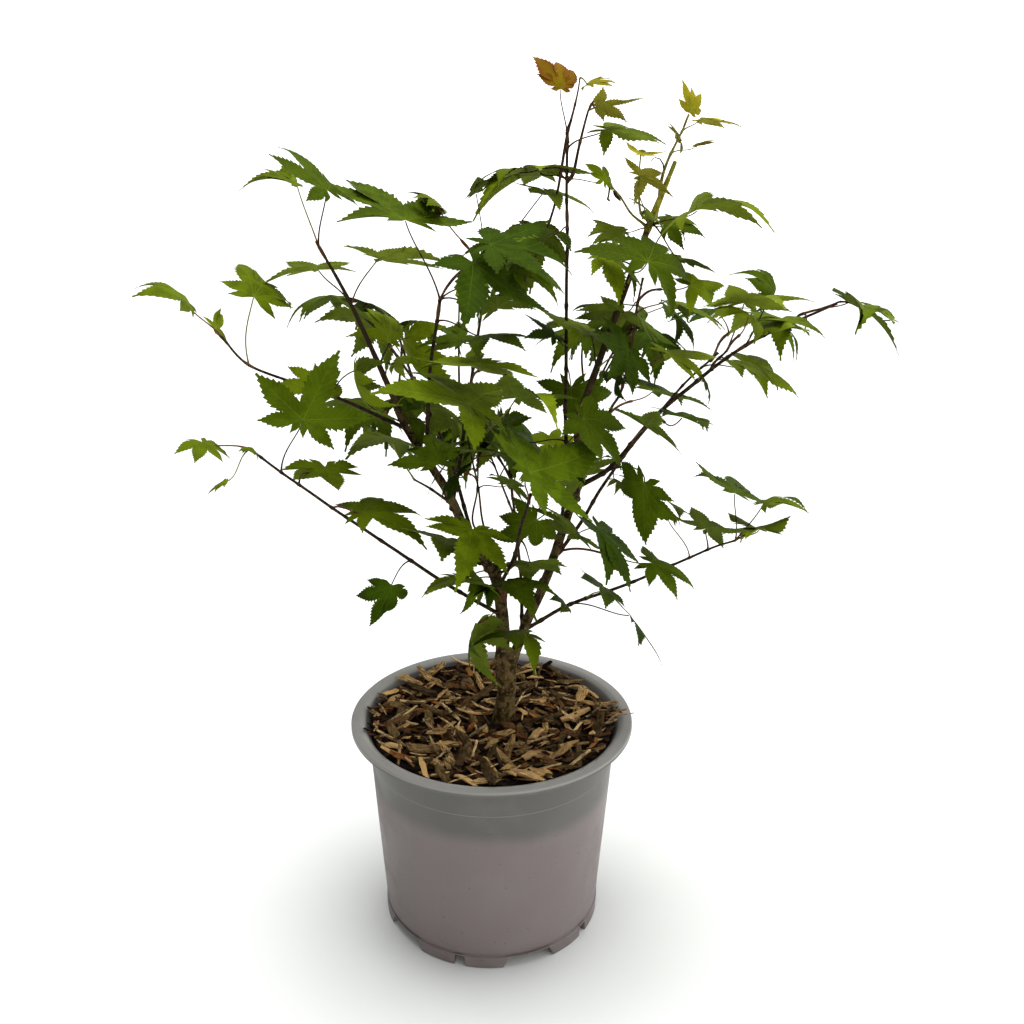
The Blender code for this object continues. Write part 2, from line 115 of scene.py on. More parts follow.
def grainNoise(tree, place, scale, detail=3.0, stretch=(1, 1, 1)):
    mapped = addNode(tree, "ShaderNodeMapping", {"Vector": place, "Scale": stretch}).outputs[0]
    grain = {"Vector": mapped, "Scale": scale, "Detail": detail, "Roughness": 0.55}
    return addNode(tree, "ShaderNodeTexNoise", grain).outputs[0]


def startFinish(name, roughness, gloss):  # a material with its shader's plain numbers set
    material = bpy.data.materials.new(name)
    material.use_nodes = True
    tree = material.node_tree
    shader = tree.nodes["Principled BSDF"]
    shader.inputs["Roughness"].default_value = roughness
    shader.inputs["Specular IOR Level"].default_value = gloss
    place = tree.nodes.new("ShaderNodeTexCoord").outputs["Object"]
    return material, tree, shader, place


def addRelief(tree, shader, height, distance, strength=1.0):
    bump = addNode(tree, "ShaderNodeBump", {"Height": height, "Distance": distance, "Strength": strength})
    tree.links.new(bump.outputs[0], shader.inputs["Normal"])


def startGroup(name, sockets):  # a Geometry Nodes group with named inputs
    tree = bpy.data.node_groups.new(name, "GeometryNodeTree")
    for socket, kind in (("Geometry", "Geometry"), *sockets, ("Finish", "Material")):
        tree.interface.new_socket(socket, in_out="INPUT", socket_type="NodeSocket" + kind)
    tree.interface.new_socket("Geometry", in_out="OUTPUT", socket_type="NodeSocketGeometry")
    return tree, tree.nodes.new("NodeGroupInput").outputs


def endGroup(tree, shape, finish):
    real = addNode(tree, "GeometryNodeRealizeInstances", {"Geometry": shape})
    done = addNode(tree, "GeometryNodeSetMaterial", {"Geometry": real.outputs[0], "Material": finish})
    tree.links.new(done.outputs[0], tree.nodes.new("NodeGroupOutput").inputs[0])
    return tree


# objects and pieces
def addObject(name, points, faces, edges=()):
    mesh = bpy.data.meshes.new(name)
    mesh.from_pydata([tuple(point) for point in points], edges, faces)
    return showMesh(name, mesh)


def showMesh(name, mesh):
    made = bpy.data.objects.new(name, mesh)
    bpy.context.scene.collection.objects.link(made)
    return made


def settle(piece, replaced=()):
    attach(piece, "root")
    if replaced:
        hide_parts(*replaced)


def bakedCopy(source, name):  # the evaluated object as a plain mesh piece; the source goes
    bpy.context.view_layer.update()
    mesh = bpy.data.meshes.new_from_object(source.evaluated_get(bpy.context.evaluated_depsgraph_get()))
    mesh.name = name
    bpy.data.objects.remove(source, do_unlink=True)
    return showMesh(name, mesh)


def runGroup(source, tree, values, name):  # the source's mesh after a Geometry Nodes group
    added = source.modifiers.new(tree.name, "NODES")
    added.node_group = tree
    for item in tree.interface.items_tree:
        if item.in_out == "INPUT" and item.name in values:
            added[item.identifier] = values[item.name]
    piece = bakedCopy(source, name)
    print("  ", name, len(piece.data.polygons), "faces")
    return piece


# camera, light and floor
shot = {
    "lens": 36.63, "sensor": 36.0, "near": 0.02, "place": (-0.005633, -0.628941, 0.503479),
    "downTilt": 0.325, "rightTurn": 0.029, "roll": 0.007,
    "horizonGlow": 1.68, "overheadGlow": 0.62, "sideGlow": 0.84, "glowFrom": 0.12, "glowTo": 0.75,
    "keyFrom": (0.04, 0.16, 1.0), "keySoftness": 40.0, "keyPower": 4.3,
    "floorSize": 6.0, "floorHeight": -0.0002, "floorColour": (0.635, 0.648, 0.630, 1), "floorRoughness": 0.8,
    "floorGloss": 0.2,
}


def setCamera():
    camera = showMesh("studioCamera", bpy.data.cameras.new("studioCamera"))
    camera.data.lens = shot["lens"]
    camera.data.sensor_width = shot["sensor"]
    camera.data.clip_start = shot["near"]
    camera.matrix_world = (Matrix.Translation(shot["place"]) @ Matrix.Rotation(-shot["rightTurn"], 4, "Z")
                           @ Matrix.Rotation(math.pi / 2 - shot["downTilt"], 4, "X")
                           @ Matrix.Rotation(shot["roll"], 4, "Z"))
    bpy.context.scene.camera = camera


def setSky():  # brighter at the horizon than overhead, and from the right than from the left
    world = bpy.data.worlds.new("studioWorld")
    world.use_nodes = True
    tree = world.node_tree
    sky = tree.nodes["Background"]
    way = tree.nodes.new("ShaderNodeTexCoord").outputs["Generated"]
    parts = addNode(tree, "ShaderNodeSeparateXYZ", {"Vector": way}).outputs
    glow = spread(tree, parts[2], shot["glowFrom"], shot["glowTo"], shot["horizonGlow"], shot["overheadGlow"])
    glow = sums(tree, "MULTIPLY", glow, sums(tree, "MULTIPLY_ADD", parts[0], shot["sideGlow"], 1.0))
    tree.links.new(glow, sky.inputs["Strength"])
    sky.inputs["Color"].default_value = (1, 1, 1, 1)
    bpy.context.scene.world = world


def setLamp():
    lamp = showMesh("softOverhead", bpy.data.lights.new("softOverhead", "SUN"))
    lamp.data.angle = math.radians(shot["keySoftness"])
    lamp.data.energy = shot["keyPower"]
    lamp.matrix_world = (-Vector(shot["keyFrom"])).to_track_quat("-Z", "Y").to_matrix().to_4x4()


def setFloor():
    half, height = shot["floorSize"], shot["floorHeight"]
    corners = [(x * half, y * half, height) for x, y in ((-1, -1), (1, -1), (1, 1), (-1, 1))]
    floor = addObject("studioFloor", corners, [(0, 1, 2, 3)])
    material, tree, shader, place = startFinish("paleFloor", shot["floorRoughness"], shot["floorGloss"])
    shader.inputs["Base Color"].default_value = shot["floorColour"]
    floor.data.materials.append(material)


setCamera()
setSky()
setLamp()
setFloor()
bpy.context.scene.view_settings.view_transform = "Standard"
print("stage set")


# nursery pot: one turned shell with a flat flange, a collar line and five feet
potShell = {
    "height": 0.1468, "rimRadius": 0.0950, "lipDrop": 0.0034, "lipWidth": 0.0016, "rimInner": 0.0885, "flange": 0.0016,
    "rimNeck": 0.0030, "neckHeight": 0.0040, "innerStep": (0.0034, 0.0019), "innerShoulder": 0.1400,
    "wall": 0.0018, "lowRadius": 0.0745, "slope": 0.0710, "collarHeight": 0.1214, "collarStep": 0.0008,
    "collarRise": 0.0006, "footHeight": 0.0087, "footRadius": 0.0752, "footWidth": 0.0040, "floor": 0.0022,
    "footGroove": ((0.0000, -0.0009), (-0.0013, -0.0004), (-0.0010, 0.0006)), "wallFoot": 0.0108, "wallSwell": 0.0002,
    "feet": 5, "firstNotch": 19.0, "wideNotch": 22.5, "narrowNotch": 5.0, "notchFlare": 1.22, "notchTop": 0.0076,
    "drainRadius": 0.0045, "drainCircle": 0.052, "drainHeight": 0.010, "drainDepth": 0.008, "drainSides": 24,
    "segments": 240, "roundSteps": 5, "ringSpacing": 0.006, "sharpAngle": 38,
    "wobble": 0.00022, "wobbleScale": (1.3, 14), "wobbleFrom": 0.03,
}
potLook = {
    "roughness": 0.46, "gloss": 0.35, "dustRoughness": (-0.05, 0.14),
    "band": (0.080, 0.077, 0.070), "wall": (0.142, 0.115, 0.113), "rim": (0.200, 0.195, 0.178),
    "scuffAndHighlight": (0.20, 0.185, 0.175), "speck": (0.055, 0.045, 0.038),
    "toneEdge": (0.104, 0.117), "toneWander": 0.016, "rimEdge": (0.1446, 0.1460), "collarMiddle": 0.1217,
    "collarReach": (0.0009, 0.0003), "collarHighlight": 0.4, "dust": 0.20, "rub": 0.18, "specks": 0.55,
    "soil": 0.35, "soiled": (0.020, 0.002), "relief": 0.00035, "reliefStrength": 0.35, "fineShare": 0.25,
}


def wallRadius(height):
    return potShell["lowRadius"] + potShell["slope"] * (height - potShell["footHeight"])


def innerRadius(height):
    return wallRadius(height) - potShell["wall"]


def fillet(corner, before, after, radius):  # points that round one corner of a profile
    corner, before, after = Vector(corner), Vector(before), Vector(after)
    start = corner + (before - corner).normalized() * radius
    end = corner + (after - corner).normalized() * radius
    steps = potShell["roundSteps"]
    points = []
    for step in range(steps + 1):
        t = step / steps
        points.append((1 - t) ** 2 * start + 2 * t * (1 - t) * corner + t ** 2 * end)
    return [tuple(point) for point in points]


def profileCorners():  # radius, height and rounding, from under the foot over the rim to the floor inside
    p = potShell
    top, foot, footRadius, collar = p["height"], p["footHeight"], p["footRadius"], p["collarHeight"]
    under, lip, neck = top - p["flange"], top - p["lipDrop"], top - p["flange"] - p["neckHeight"]
    lipRadius, floor, shoulder = p["rimRadius"] - p["lipWidth"], foot + p["floor"], p["innerShoulder"]
    groove = [(footRadius + out, foot + rise, rounding)
              for (out, rise), rounding in zip(p["footGroove"], (0.0003, 0.0003, 0.0002))]
    return [
        (footRadius - p["footWidth"], foot, 0), (footRadius - p["footWidth"], 0, 0.0004), (footRadius, 0, 0.0005),
        *groove,
        (wallRadius(p["wallFoot"]) + p["wallSwell"], p["wallFoot"], 0.0008),
        (wallRadius(collar), collar, 0.0002),
        (wallRadius(collar) + p["collarStep"], collar + p["collarRise"], 0.0003),
        (wallRadius(neck) + p["collarStep"], neck, 0.0015), (wallRadius(under) + p["rimNeck"], under, 0.0012),
        (lipRadius, under, 0.0003), (lipRadius, lip, 0.0004), (p["rimRadius"], lip, 0.0006),
        (p["rimRadius"], top, 0.0012), (p["rimInner"], top, 0.0016),
        (p["rimInner"] - p["innerStep"][0], top - p["innerStep"][1], 0.0010),
        (innerRadius(shoulder), shoulder, 0.0020), (innerRadius(floor), floor, 0.0006),
    ]


def potProfile():
    corners = profileCorners()
    profile = []
    for index, (radius, height, rounding) in enumerate(corners):
        if rounding == 0 or index in (0, len(corners) - 1):
            profile.append((radius, height))
        else:
            profile += fillet((radius, height), corners[index - 1][:2], corners[index + 1][:2], rounding)
    filled = [profile[0]]
    for (lowRadius, lowHeight), (radius, height) in zip(profile, profile[1:]):
        steps = max(1, round(abs(height - lowHeight) / potShell["ringSpacing"]))  # long runs get rings of their own
        for step in range(1, steps + 1):
            filled.append((mixed(lowRadius, radius, step / steps), mixed(lowHeight, height, step / steps)))
    return filled


def notchKinds():  # the wide notches, and the narrow ones midway between them: middle and width in degrees
    p = potShell
    return (p["firstNotch"], p["wideNotch"]), (p["firstNotch"] + 180 / p["feet"], p["narrowNotch"])


def notchDepth(angle):  # how far the foot ring is cut up at an angle in degrees
    pitch, flare = 360 / potShell["feet"], potShell["notchFlare"]
    best = 0
    for centre, width in notchKinds():
        away = abs((angle + 90 - centre + pitch / 2) % pitch - pitch / 2)
        best = max(best, min(1, max(0, (width * flare / 2 - away) / (width * (flare - 1) / 2))))
    return best * potShell["notchTop"]


def potAngles():  # even steps, and the corners of every notch
    p = potShell
    angles = {round(360 * step / p["segments"], 4) for step in range(p["segments"])}
    for foot in range(p["feet"]):
        for centre, width in notchKinds():
            for reach in (width / 2, width * p["notchFlare"] / 2):
                for side in (-1, 1):
                    angles.add(round((centre - 90 + foot * 360 / p["feet"] + side * reach) % 360, 4))
    return sorted(angles)


def turnShell():
    p = potShell
    profile, angles = potProfile(), potAngles()
    around, upward = p["wobbleScale"]
    points, faces = [], []
    for angle in angles:
        turn = math.radians(angle)
        cut = notchDepth(angle)
        for radius, height in profile:
            if radius > p["footRadius"] - p["footWidth"] - 0.0005 and height < p["footHeight"]:
                height = cut + height * (1 - cut / p["footHeight"])
            spot = Vector((math.cos(turn) * around, math.sin(turn) * around, height * upward))
            radius += p["wobble"] * noise.noise(spot) * min(1, height / p["wobbleFrom"])
            points.append((radius * math.cos(turn), radius * math.sin(turn), height))
    rows = len(profile)
    underside, inside = len(points), len(points) + 1
    points += [(0, 0, p["footHeight"]), (0, 0, p["footHeight"] + p["floor"])]
    columns = [column * rows for column in range(len(angles))]
    for low, high in zip(columns, columns[1:] + columns[:1]):
        for row in range(rows - 1):
            faces.append((low + row, high + row, high + row + 1, low + row + 1))
    for low, high in zip(columns, columns[1:] + columns[:1]):
        faces.append((underside, high, low))
        faces.append((inside, low + rows - 1, high + rows - 1))
    shell = addObject("potTurned", points, faces)
    shell.data.shade_smooth()
    return shell


def drainDrill():
    p = potShell
    holes = bmesh.new()
    for foot in range(p["feet"]):
        turn = math.radians(p["firstNotch"] - 90 + foot * 360 / p["feet"])
        centre = Vector((math.cos(turn), math.sin(turn), 0)) * p["drainCircle"] + up * p["drainHeight"]
        bmesh.ops.create_cone(holes, cap_ends=True, segments=p["drainSides"], radius1=p["drainRadius"],
                              radius2=p["drainRadius"], depth=p["drainDepth"], matrix=Matrix.Translation(centre))
    drill = bpy.data.meshes.new("drainDrill")
    holes.to_mesh(drill)
    holes.free()
    return showMesh("drainDrill", drill)


def makePot():
    shell, drill = turnShell(), drainDrill()
    shell.modifiers.new("drains", "BOOLEAN").object = drill
    piece = bakedCopy(shell, "potShell")
    bpy.data.objects.remove(drill, do_unlink=True)
    piece.data.materials.clear()
    piece.data.materials.append(potPlastic())
    piece.data.shade_smooth()
    piece.data.set_sharp_from_angle(angle=math.radians(potShell["sharpAngle"]))
    settle(piece, ["pot"])


def potPlastic():
    k = potLook
    material, tree, shader, place = startFinish("taupePlastic", k["roughness"], k["gloss"])
    height = addNode(tree, "ShaderNodeSeparateXYZ", {"Vector": place}).outputs[2]
    edge = sums(tree, "MULTIPLY_ADD", grainNoise(tree, place, 9, 3, (1, 1, 0.6)), k["toneWander"], height)
    base = layOver(tree, k["wall"], k["band"], edge, *k["toneEdge"])
    base = layOver(tree, base, k["rim"], height, *k["rimEdge"])
    # painted highlight: a thin lighter line along the collar step, where the small ridge would catch the light. The
    # same pale colour also serves for the real dust and rubbed wear below
    fromCollar = sums(tree, "ABSOLUTE", sums(tree, "SUBTRACT", height, k["collarMiddle"]))
    base = layOver(tree, base, k["scuffAndHighlight"], fromCollar, *k["collarReach"], k["collarHighlight"])
    dusty = spread(tree, grainNoise(tree, place, 26, 5), 0.42, 0.72)
    base = mixColour(tree, sums(tree, "MULTIPLY", dusty, k["dust"]), base, k["scuffAndHighlight"])
    base = layOver(tree, base, k["scuffAndHighlight"], grainNoise(tree, place, 60, 4, (1, 1, 0.18)), 0.60, 0.72, k["rub"])
    base = layOver(tree, base, k["speck"], grainNoise(tree, place, 420, 1), 0.72, 0.78, k["specks"])
    patches = spread(tree, grainNoise(tree, place, 40, 4), 0.35, 0.65)
    soiled = sums(tree, "MULTIPLY", spread(tree, height, *k["soiled"], 0.0, k["soil"]), patches)
    base = mixColour(tree, soiled, base, k["speck"])
    tree.links.new(base, shader.inputs["Base Color"])
    rough = spread(tree, dusty, 0.0, 1.0, *(k["roughness"] + change for change in k["dustRoughness"]))
    tree.links.new(rough, shader.inputs["Roughness"])
    fine, broad = grainNoise(tree, place, 900, 2), grainNoise(tree, place, 45, 2)
    addRelief(tree, shader, sums(tree, "MULTIPLY_ADD", fine, k["fineShare"], broad), k["relief"], k["reliefStrength"])
    return material


makePot()
print("pot turned and drilled")


# soil bed with bark chips strewn over it
mulchBed = {
    "level": 0.1386, "radius": 0.0812, "floor": 0.0113, "rings": 26, "segments": 96, "sideRings": 6, "wallGap": 0.0006,
    "bump": 0.0030, "bumpScale": 42, "fineBump": 0.5, "fineScale": 2.7, "flatReach": 0.02,
    "trunkFoot": (0.0075, 0.0040), "heap": 0.0056, "heapFrom": 0.048, "edgeReach": 0.010, "edgeDrop": 0.0015,
    "mound": 0.0012, "moundReach": 0.016,
    "damp": (0.008, 0.0045, 0.0025), "dry": (0.016, 0.008, 0.004), "crumbScale": 260, "relief": 0.0025,
    "roughness": 0.95, "gloss": 0.1,
}


def mulchHeight(x, y):
    b = mulchBed
    place, out = Vector((x, y, 0)) * b["bumpScale"], math.hypot(x, y)
    fine = Vector((x, y, 3)) * b["bumpScale"] * b["fineScale"]
    bumps = noise.noise(place) + b["fineBump"] * noise.noise(fine)
    away = math.hypot(x - b["trunkFoot"][0], y - b["trunkFoot"][1])
    edge = min(1, (b["radius"] - out) / b["edgeReach"])
    heaped = b["heap"] * max(0, (out - b["heapFrom"]) / (b["radius"] - b["heapFrom"])) ** 2
    mound = b["mound"] * math.exp(-(away / b["moundReach"]) ** 2)
    return b["level"] + b["bump"] * bumps * min(1, away / b["flatReach"]) + heaped - b["edgeDrop"] * (1 - edge) + mound


def soilShape(radius, rings, segments):  # points and faces of the bumpy round top, from its middle out
    points, faces = [(0, 0, mulchHeight(0, 0))], []
    for ring in range(1, rings + 1):
        for step in range(segments):
            turn = 2 * math.pi * step / segments
            x, y = radius * ring / rings * math.cos(turn), radius * ring / rings * math.sin(turn)
            points.append((x, y, mulchHeight(x, y)))
    for step in range(segments):
        following = (step + 1) % segments
        faces.append((0, 1 + step, 1 + following))
        for ring in range(rings - 1):
            low = 1 + ring * segments
            faces.append((low + step, low + segments + step, low + segments + following, low + following))
    return points, faces


def makeSoil():
    b = mulchBed
    segments, lows = b["segments"], b["sideRings"]
    points, faces = soilShape(b["radius"], b["rings"], segments)
    outer = 1 + (b["rings"] - 1) * segments
    for low in range(1, lows + 1):
        height = mixed(b["level"], b["floor"], low / lows)
        radius = min(b["radius"], innerRadius(height) - b["wallGap"])
        for step in range(segments):
            turn = 2 * math.pi * step / segments
            points.append((radius * math.cos(turn), radius * math.sin(turn), height))
    middle = len(points)
    points.append((0, 0, b["floor"]))
    for step in range(segments):
        following = (step + 1) % segments
        for low in range(lows):
            ring = outer + low * segments
            faces.append((ring + step, ring + segments + step, ring + segments + following, ring + following))
        last = outer + lows * segments
        faces.append((last + step, middle, last + following))
    material, tree, shader, place = startFinish("dampSoil", b["roughness"], b["gloss"])
    crumbs = grainNoise(tree, place, b["crumbScale"], 6)
    tree.links.new(layOver(tree, b["damp"], b["dry"], crumbs, 0.35, 0.7), shader.inputs["Base Color"])
    addRelief(tree, shader, crumbs, b["relief"])
    piece = addObject("soilBed", points, faces)
    piece.data.materials.append(material)
    piece.data.shade_smooth()
    settle(piece, ["mulched_soil"])


barkChips = {  # name: shapes, colour, spacing, seed, smallest and largest scale, tilt, lift, and how far out it reaches
    "fineUnderChips": ("sliver", (0.014, 0.007, 0.0035), 0.0036, 3, 0.40, 0.90, 0.40, 0.0002, 0.0808),
    "darkChips": ("flake", (0.028, 0.012, 0.005), 0.0078, 5, 0.50, 1.00, 0.45, 0.0010, 0.0800),
    "brownChips": ("flake", (0.080, 0.037, 0.011), 0.0094, 8, 0.50, 1.05, 0.45, 0.0022, 0.0800),
    "tanChips": ("flake", (0.280, 0.172, 0.064), 0.0124, 11, 0.60, 1.30, 0.38, 0.0034, 0.0800),
    "paleSlivers": ("sliver", (0.340, 0.232, 0.108), 0.0112, 14, 0.50, 1.25, 0.50, 0.0042, 0.0805),
    "broadChips": ("slab", (0.235, 0.142, 0.054), 0.0225, 23, 0.75, 1.20, 0.26, 0.0040, 0.0770),
    "rustChips": ("flake", (0.175, 0.062, 0.014), 0.0190, 17, 0.45, 0.85, 0.38, 0.0036, 0.0780),
}
chipShapes = {  # how many, then the ranges of length, width and thickness
    "flake": (11, (0.0090, 0.0235), (0.0034, 0.0070), (0.0012, 0.0030)),
    "sliver": (9, (0.0110, 0.0250), (0.0010, 0.0024), (0.0008, 0.0018)),
    "slab": (7, (0.0170, 0.0270), (0.0052, 0.0085), (0.0018, 0.0032)),
}
chipForm = {
    "rows": 5, "sides": 6, "ragged": 0.22, "curl": 0.16, "twist": 0.5, "torn": (0.05, 0.60), "shift": 0.12,
    "square": 0.7, "endTear": 0.07, "rowTear": 0.3, "firstTurn": 0.3, "seed": 40, "clearance": 0.0095,
    "density": 60000.0,
    "groundRings": 20, "groundSegments": 60, "wallGap": 0.0004, "leanFrom": 0.1415, "lean": 0.9, "climb": 0.35,
}


# dark is a near-black chip tone: partly the bark's own dark grain and partly painted shade standing in for the dark
# gaps between chips; darkChips and darkShare darken whole chips towards it
chipLook = {
    "roughness": 0.85, "gloss": 0.03, "dark": 0.05, "pale": 2.25, "paleLift": 0.012, "blotch": 0.65,
    "darkChips": (0.10, 0.62), "darkShare": 0.85, "paleChips": (0.60, 1.0), "paleShare": 0.62,
    "relief": 0.0006, "reliefStrength": 0.8,
}


def chipMesh(name, shape, dice):  # one splinter of bark with torn ends, its grain along U
    f = chipForm
    rows, sides = f["rows"], f["sides"]
    length, width, thick = (dice.uniform(*limits) for limits in chipShapes[shape][1:])
    bend, twist = dice.uniform(-1, 1) * f["curl"], dice.uniform(-f["twist"], f["twist"])
    points, faces = [], []
    for row in range(rows):
        t = row / (rows - 1)
        girth = (1 - abs(2 * t - 1) ** 4 * dice.uniform(*f["torn"])) * dice.uniform(1 - f["ragged"], 1)
        shift = dice.uniform(-f["shift"], f["shift"]) * width
        spin = twist * (t - 0.5)
        for side in range(sides):
            turn = 2 * math.pi * side / sides + f["firstTurn"]
            y = 0.5 * width * girth * math.copysign(abs(math.cos(turn)) ** f["square"], math.cos(turn)) + shift
            z = 0.5 * thick * (0.5 + 0.5 * girth) * math.copysign(abs(math.sin(turn)) ** f["square"], math.sin(turn))
            tear = dice.uniform(-f["endTear"], f["endTear"]) * length * (1 if row in (0, rows - 1) else f["rowTear"])
            points.append(((t - 0.5) * length + tear, y * math.cos(spin) - z * math.sin(spin),
                           y * math.sin(spin) + z * math.cos(spin) + bend * length * (t - 0.5) ** 2 * 2))
    for row in range(rows - 1):
        for side in range(sides):
            low, high = row * sides + side, row * sides + (side + 1) % sides
            faces.append((low, low + sides, high + sides, high))
    faces.append(tuple(range(sides)))
    faces.append(tuple((rows - 1) * sides + side for side in reversed(range(sides))))
    mesh = bpy.data.meshes.new(name)
    mesh.from_pydata(points, [], faces)
    solid = bmesh.new()
    solid.from_mesh(mesh)
    bmesh.ops.recalc_face_normals(solid, faces=solid.faces)
    grain = solid.loops.layers.uv.new("grain")
    for face in solid.faces:
        for loop in face.loops:
            loop[grain].uv = (loop.vert.co.x * 100, (loop.vert.co.y + loop.vert.co.z) * 100)
    solid.to_mesh(mesh)
    solid.free()
    return bpy.data.objects.new(name, mesh)


def chipTree():  # strews picked chips over a surface, clear of the trunk
    tree, given = startGroup("strewChips", (
        ("Chips", "Collection"), ("Spacing", "Float"), ("Seed", "Int"), ("Smallest", "Float"), ("Largest", "Float"),
        ("Tilt", "Float"), ("Lift", "Float"), ("Trunk foot", "Vector"), ("Clearance", "Float")))
    scattered = addNode(tree, "GeometryNodeDistributePointsOnFaces", {
        "Mesh": given["Geometry"], "Distance Min": given["Spacing"], "Density Max": chipForm["density"],
        "Seed": given["Seed"]}, distribute_method="POISSON")
    where = tree.nodes.new("GeometryNodeInputPosition").outputs[0]
    gap = addNode(tree, "ShaderNodeVectorMath", {0: where, 1: given["Trunk foot"]}, operation="DISTANCE")
    near = addNode(tree, "FunctionNodeCompare", {0: gap.outputs["Value"], 1: given["Clearance"]}, data_type="FLOAT",
                   operation="LESS_THAN")
    kept = addNode(tree, "GeometryNodeDeleteGeometry", {"Geometry": scattered.outputs["Points"],
                                                        "Selection": near.outputs[0]})
    minusTilt = sums(tree, "MULTIPLY", given["Tilt"], -1.0)
    leanLow = addNode(tree, "ShaderNodeCombineXYZ", {"X": minusTilt, "Y": minusTilt, "Z": 0.0})
    leanHigh = addNode(tree, "ShaderNodeCombineXYZ", {"X": given["Tilt"], "Y": given["Tilt"], "Z": 2 * math.pi})
    turned = addNode(tree, "FunctionNodeRandomValue", {0: leanLow.outputs[0], 1: leanHigh.outputs[0],
                                                       "Seed": given["Seed"]}, data_type="FLOAT_VECTOR")
    sized = addNode(tree, "FunctionNodeRandomValue", {2: given["Smallest"], 3: given["Largest"], "Seed": 21},
                    data_type="FLOAT")
    chips = addNode(tree, "GeometryNodeCollectionInfo", {"Collection": given["Chips"], "Separate Children": True,
                                                         "Reset Children": True})
    placed = addNode(tree, "GeometryNodeInstanceOnPoints", {
        "Points": kept.outputs[0], "Instance": chips.outputs[0], "Pick Instance": True,
        "Rotation": turned.outputs[0], "Scale": sized.outputs[1]})
    raised = addNode(tree, "ShaderNodeCombineXYZ", {"Z": given["Lift"]})
    lifted = addNode(tree, "GeometryNodeTranslateInstances", {
        "Instances": placed.outputs[0], "Translation": raised.outputs[0], "Local Space": False})
    toned = addNode(tree, "FunctionNodeRandomValue", {"Seed": 31}, data_type="FLOAT")
    shaded = addNode(tree, "GeometryNodeStoreNamedAttribute", {
        "Geometry": lifted.outputs[0], "Name": "shade", "Value": toned.outputs[1]},
        data_type="FLOAT", domain="INSTANCE")
    return endGroup(tree, shaded.outputs[0], given["Finish"])


def chipFinish(name, colour):
    k = chipLook
    material, tree, shader, place = startFinish(name, k["roughness"], k["gloss"])
    shade = addNode(tree, "ShaderNodeAttribute", attribute_name="shade").outputs["Fac"]
    flat = addNode(tree, "ShaderNodeUVMap", uv_map="grain").outputs[0]
    fibre = grainNoise(tree, flat, 6.5, 4, (0.30, 6.5, 1))
    dark = tuple(channel * k["dark"] for channel in colour)
    pale = tuple(min(1, channel * k["pale"] + k["paleLift"]) for channel in colour)
    base = layOver(tree, dark, pale, fibre, 0.40, 0.58)
    base = layOver(tree, base, dark, grainNoise(tree, place, 190, 3), 0.45, 0.66, k["blotch"])
    # partly painted shade: chips with a low random shade are darkened towards the near-black tone, standing in for the
    # shade in the gaps between chips
    base = mixColour(tree, spread(tree, shade, *k["darkChips"], k["darkShare"], 0.0), base, dark)
    base = layOver(tree, base, pale, shade, *k["paleChips"], k["paleShare"])
    tree.links.new(base, shader.inputs["Base Color"])
    addRelief(tree, shader, fibre, k["relief"], k["reliefStrength"])
    return material


def leanOnWall(piece):  # chips at the edge lean on the wall
    f = chipForm
    for corner in piece.data.vertices:
        spot = corner.co
        away = math.hypot(spot.x, spot.y)
        room = innerRadius(spot.z) - f["wallGap"] + max(0, spot.z - f["leanFrom"]) * f["lean"]
        if away > room:
            spot.x, spot.y = spot.x * room / away, spot.y * room / away
            spot.z += (away - room) * f["climb"]


def makeChips():
    tree = chipTree()
    dice = random.Random(chipForm["seed"])
    lots = {}
    for shape, (count, *_) in chipShapes.items():
        lots[shape] = bpy.data.collections.new(shape + "Shapes")
        for number in range(count):
            lots[shape].objects.link(chipMesh(f"{shape}{number}", shape, dice))
    foot = Vector((*mulchBed["trunkFoot"], mulchBed["level"]))
    for name, (shape, colour, spacing, seed, low, high, tilt, lift, reach) in barkChips.items():
        ground = addObject(name + "Ground", *soilShape(reach, chipForm["groundRings"], chipForm["groundSegments"]))
        piece = runGroup(ground, tree, {
            "Chips": lots[shape], "Spacing": spacing, "Seed": seed, "Smallest": low, "Largest": high, "Tilt": tilt,
            "Lift": lift, "Trunk foot": foot, "Clearance": chipForm["clearance"],
            "Finish": chipFinish(name + "Bark", colour)}, name)
        leanOnWall(piece)
        settle(piece)


rimFibres = {
    "count": 11, "seed": 77, "middle": (0.0835, -0.0045, 0.1486), "strew": (0.0045, 0.0075, 0.0014), "fan": 38,
    "tip": (-22, 4), "scale": (0.45, 0.95), "colour": (0.210, 0.125, 0.055),
}


def makeRimFibres():  # a torn clump that lies over the rim on the right
    r = rimFibres
    dice = random.Random(r["seed"])
    clump = bmesh.new()
    clump.loops.layers.uv.new("grain")
    shade = clump.verts.layers.float.new("shade")
    for number in range(r["count"]):
        splinter = chipMesh(f"rimFibre{number}", "sliver", dice)
        fanned = Matrix.Rotation(math.radians(dice.gauss(0, r["fan"])), 4, "Z")
        tipped = Matrix.Rotation(math.radians(dice.uniform(*r["tip"])), 4, "Y")
        moved = Vector([mid + dice.uniform(-1, 1) * reach for mid, reach in zip(r["middle"], r["strew"])])
        scaled = Matrix.Scale(dice.uniform(*r["scale"]), 4)
        splinter.data.transform(Matrix.Translation(moved) @ (fanned @ tipped) @ scaled)
        before = len(clump.verts)
        clump.from_mesh(splinter.data)
        clump.verts.ensure_lookup_table()
        tone = dice.random()
        for corner in clump.verts[before:]:
            corner[shade] = tone
        bpy.data.objects.remove(splinter, do_unlink=True)
    mesh = bpy.data.meshes.new("rimFibres")
    clump.to_mesh(mesh)
    clump.free()
    mesh.materials.append(chipFinish("rimFibreBark", r["colour"]))
    settle(showMesh("rimFibres", mesh))


makeSoil()
makeChips()
makeRimFibres()
print("soil bedded and mulch strewn")


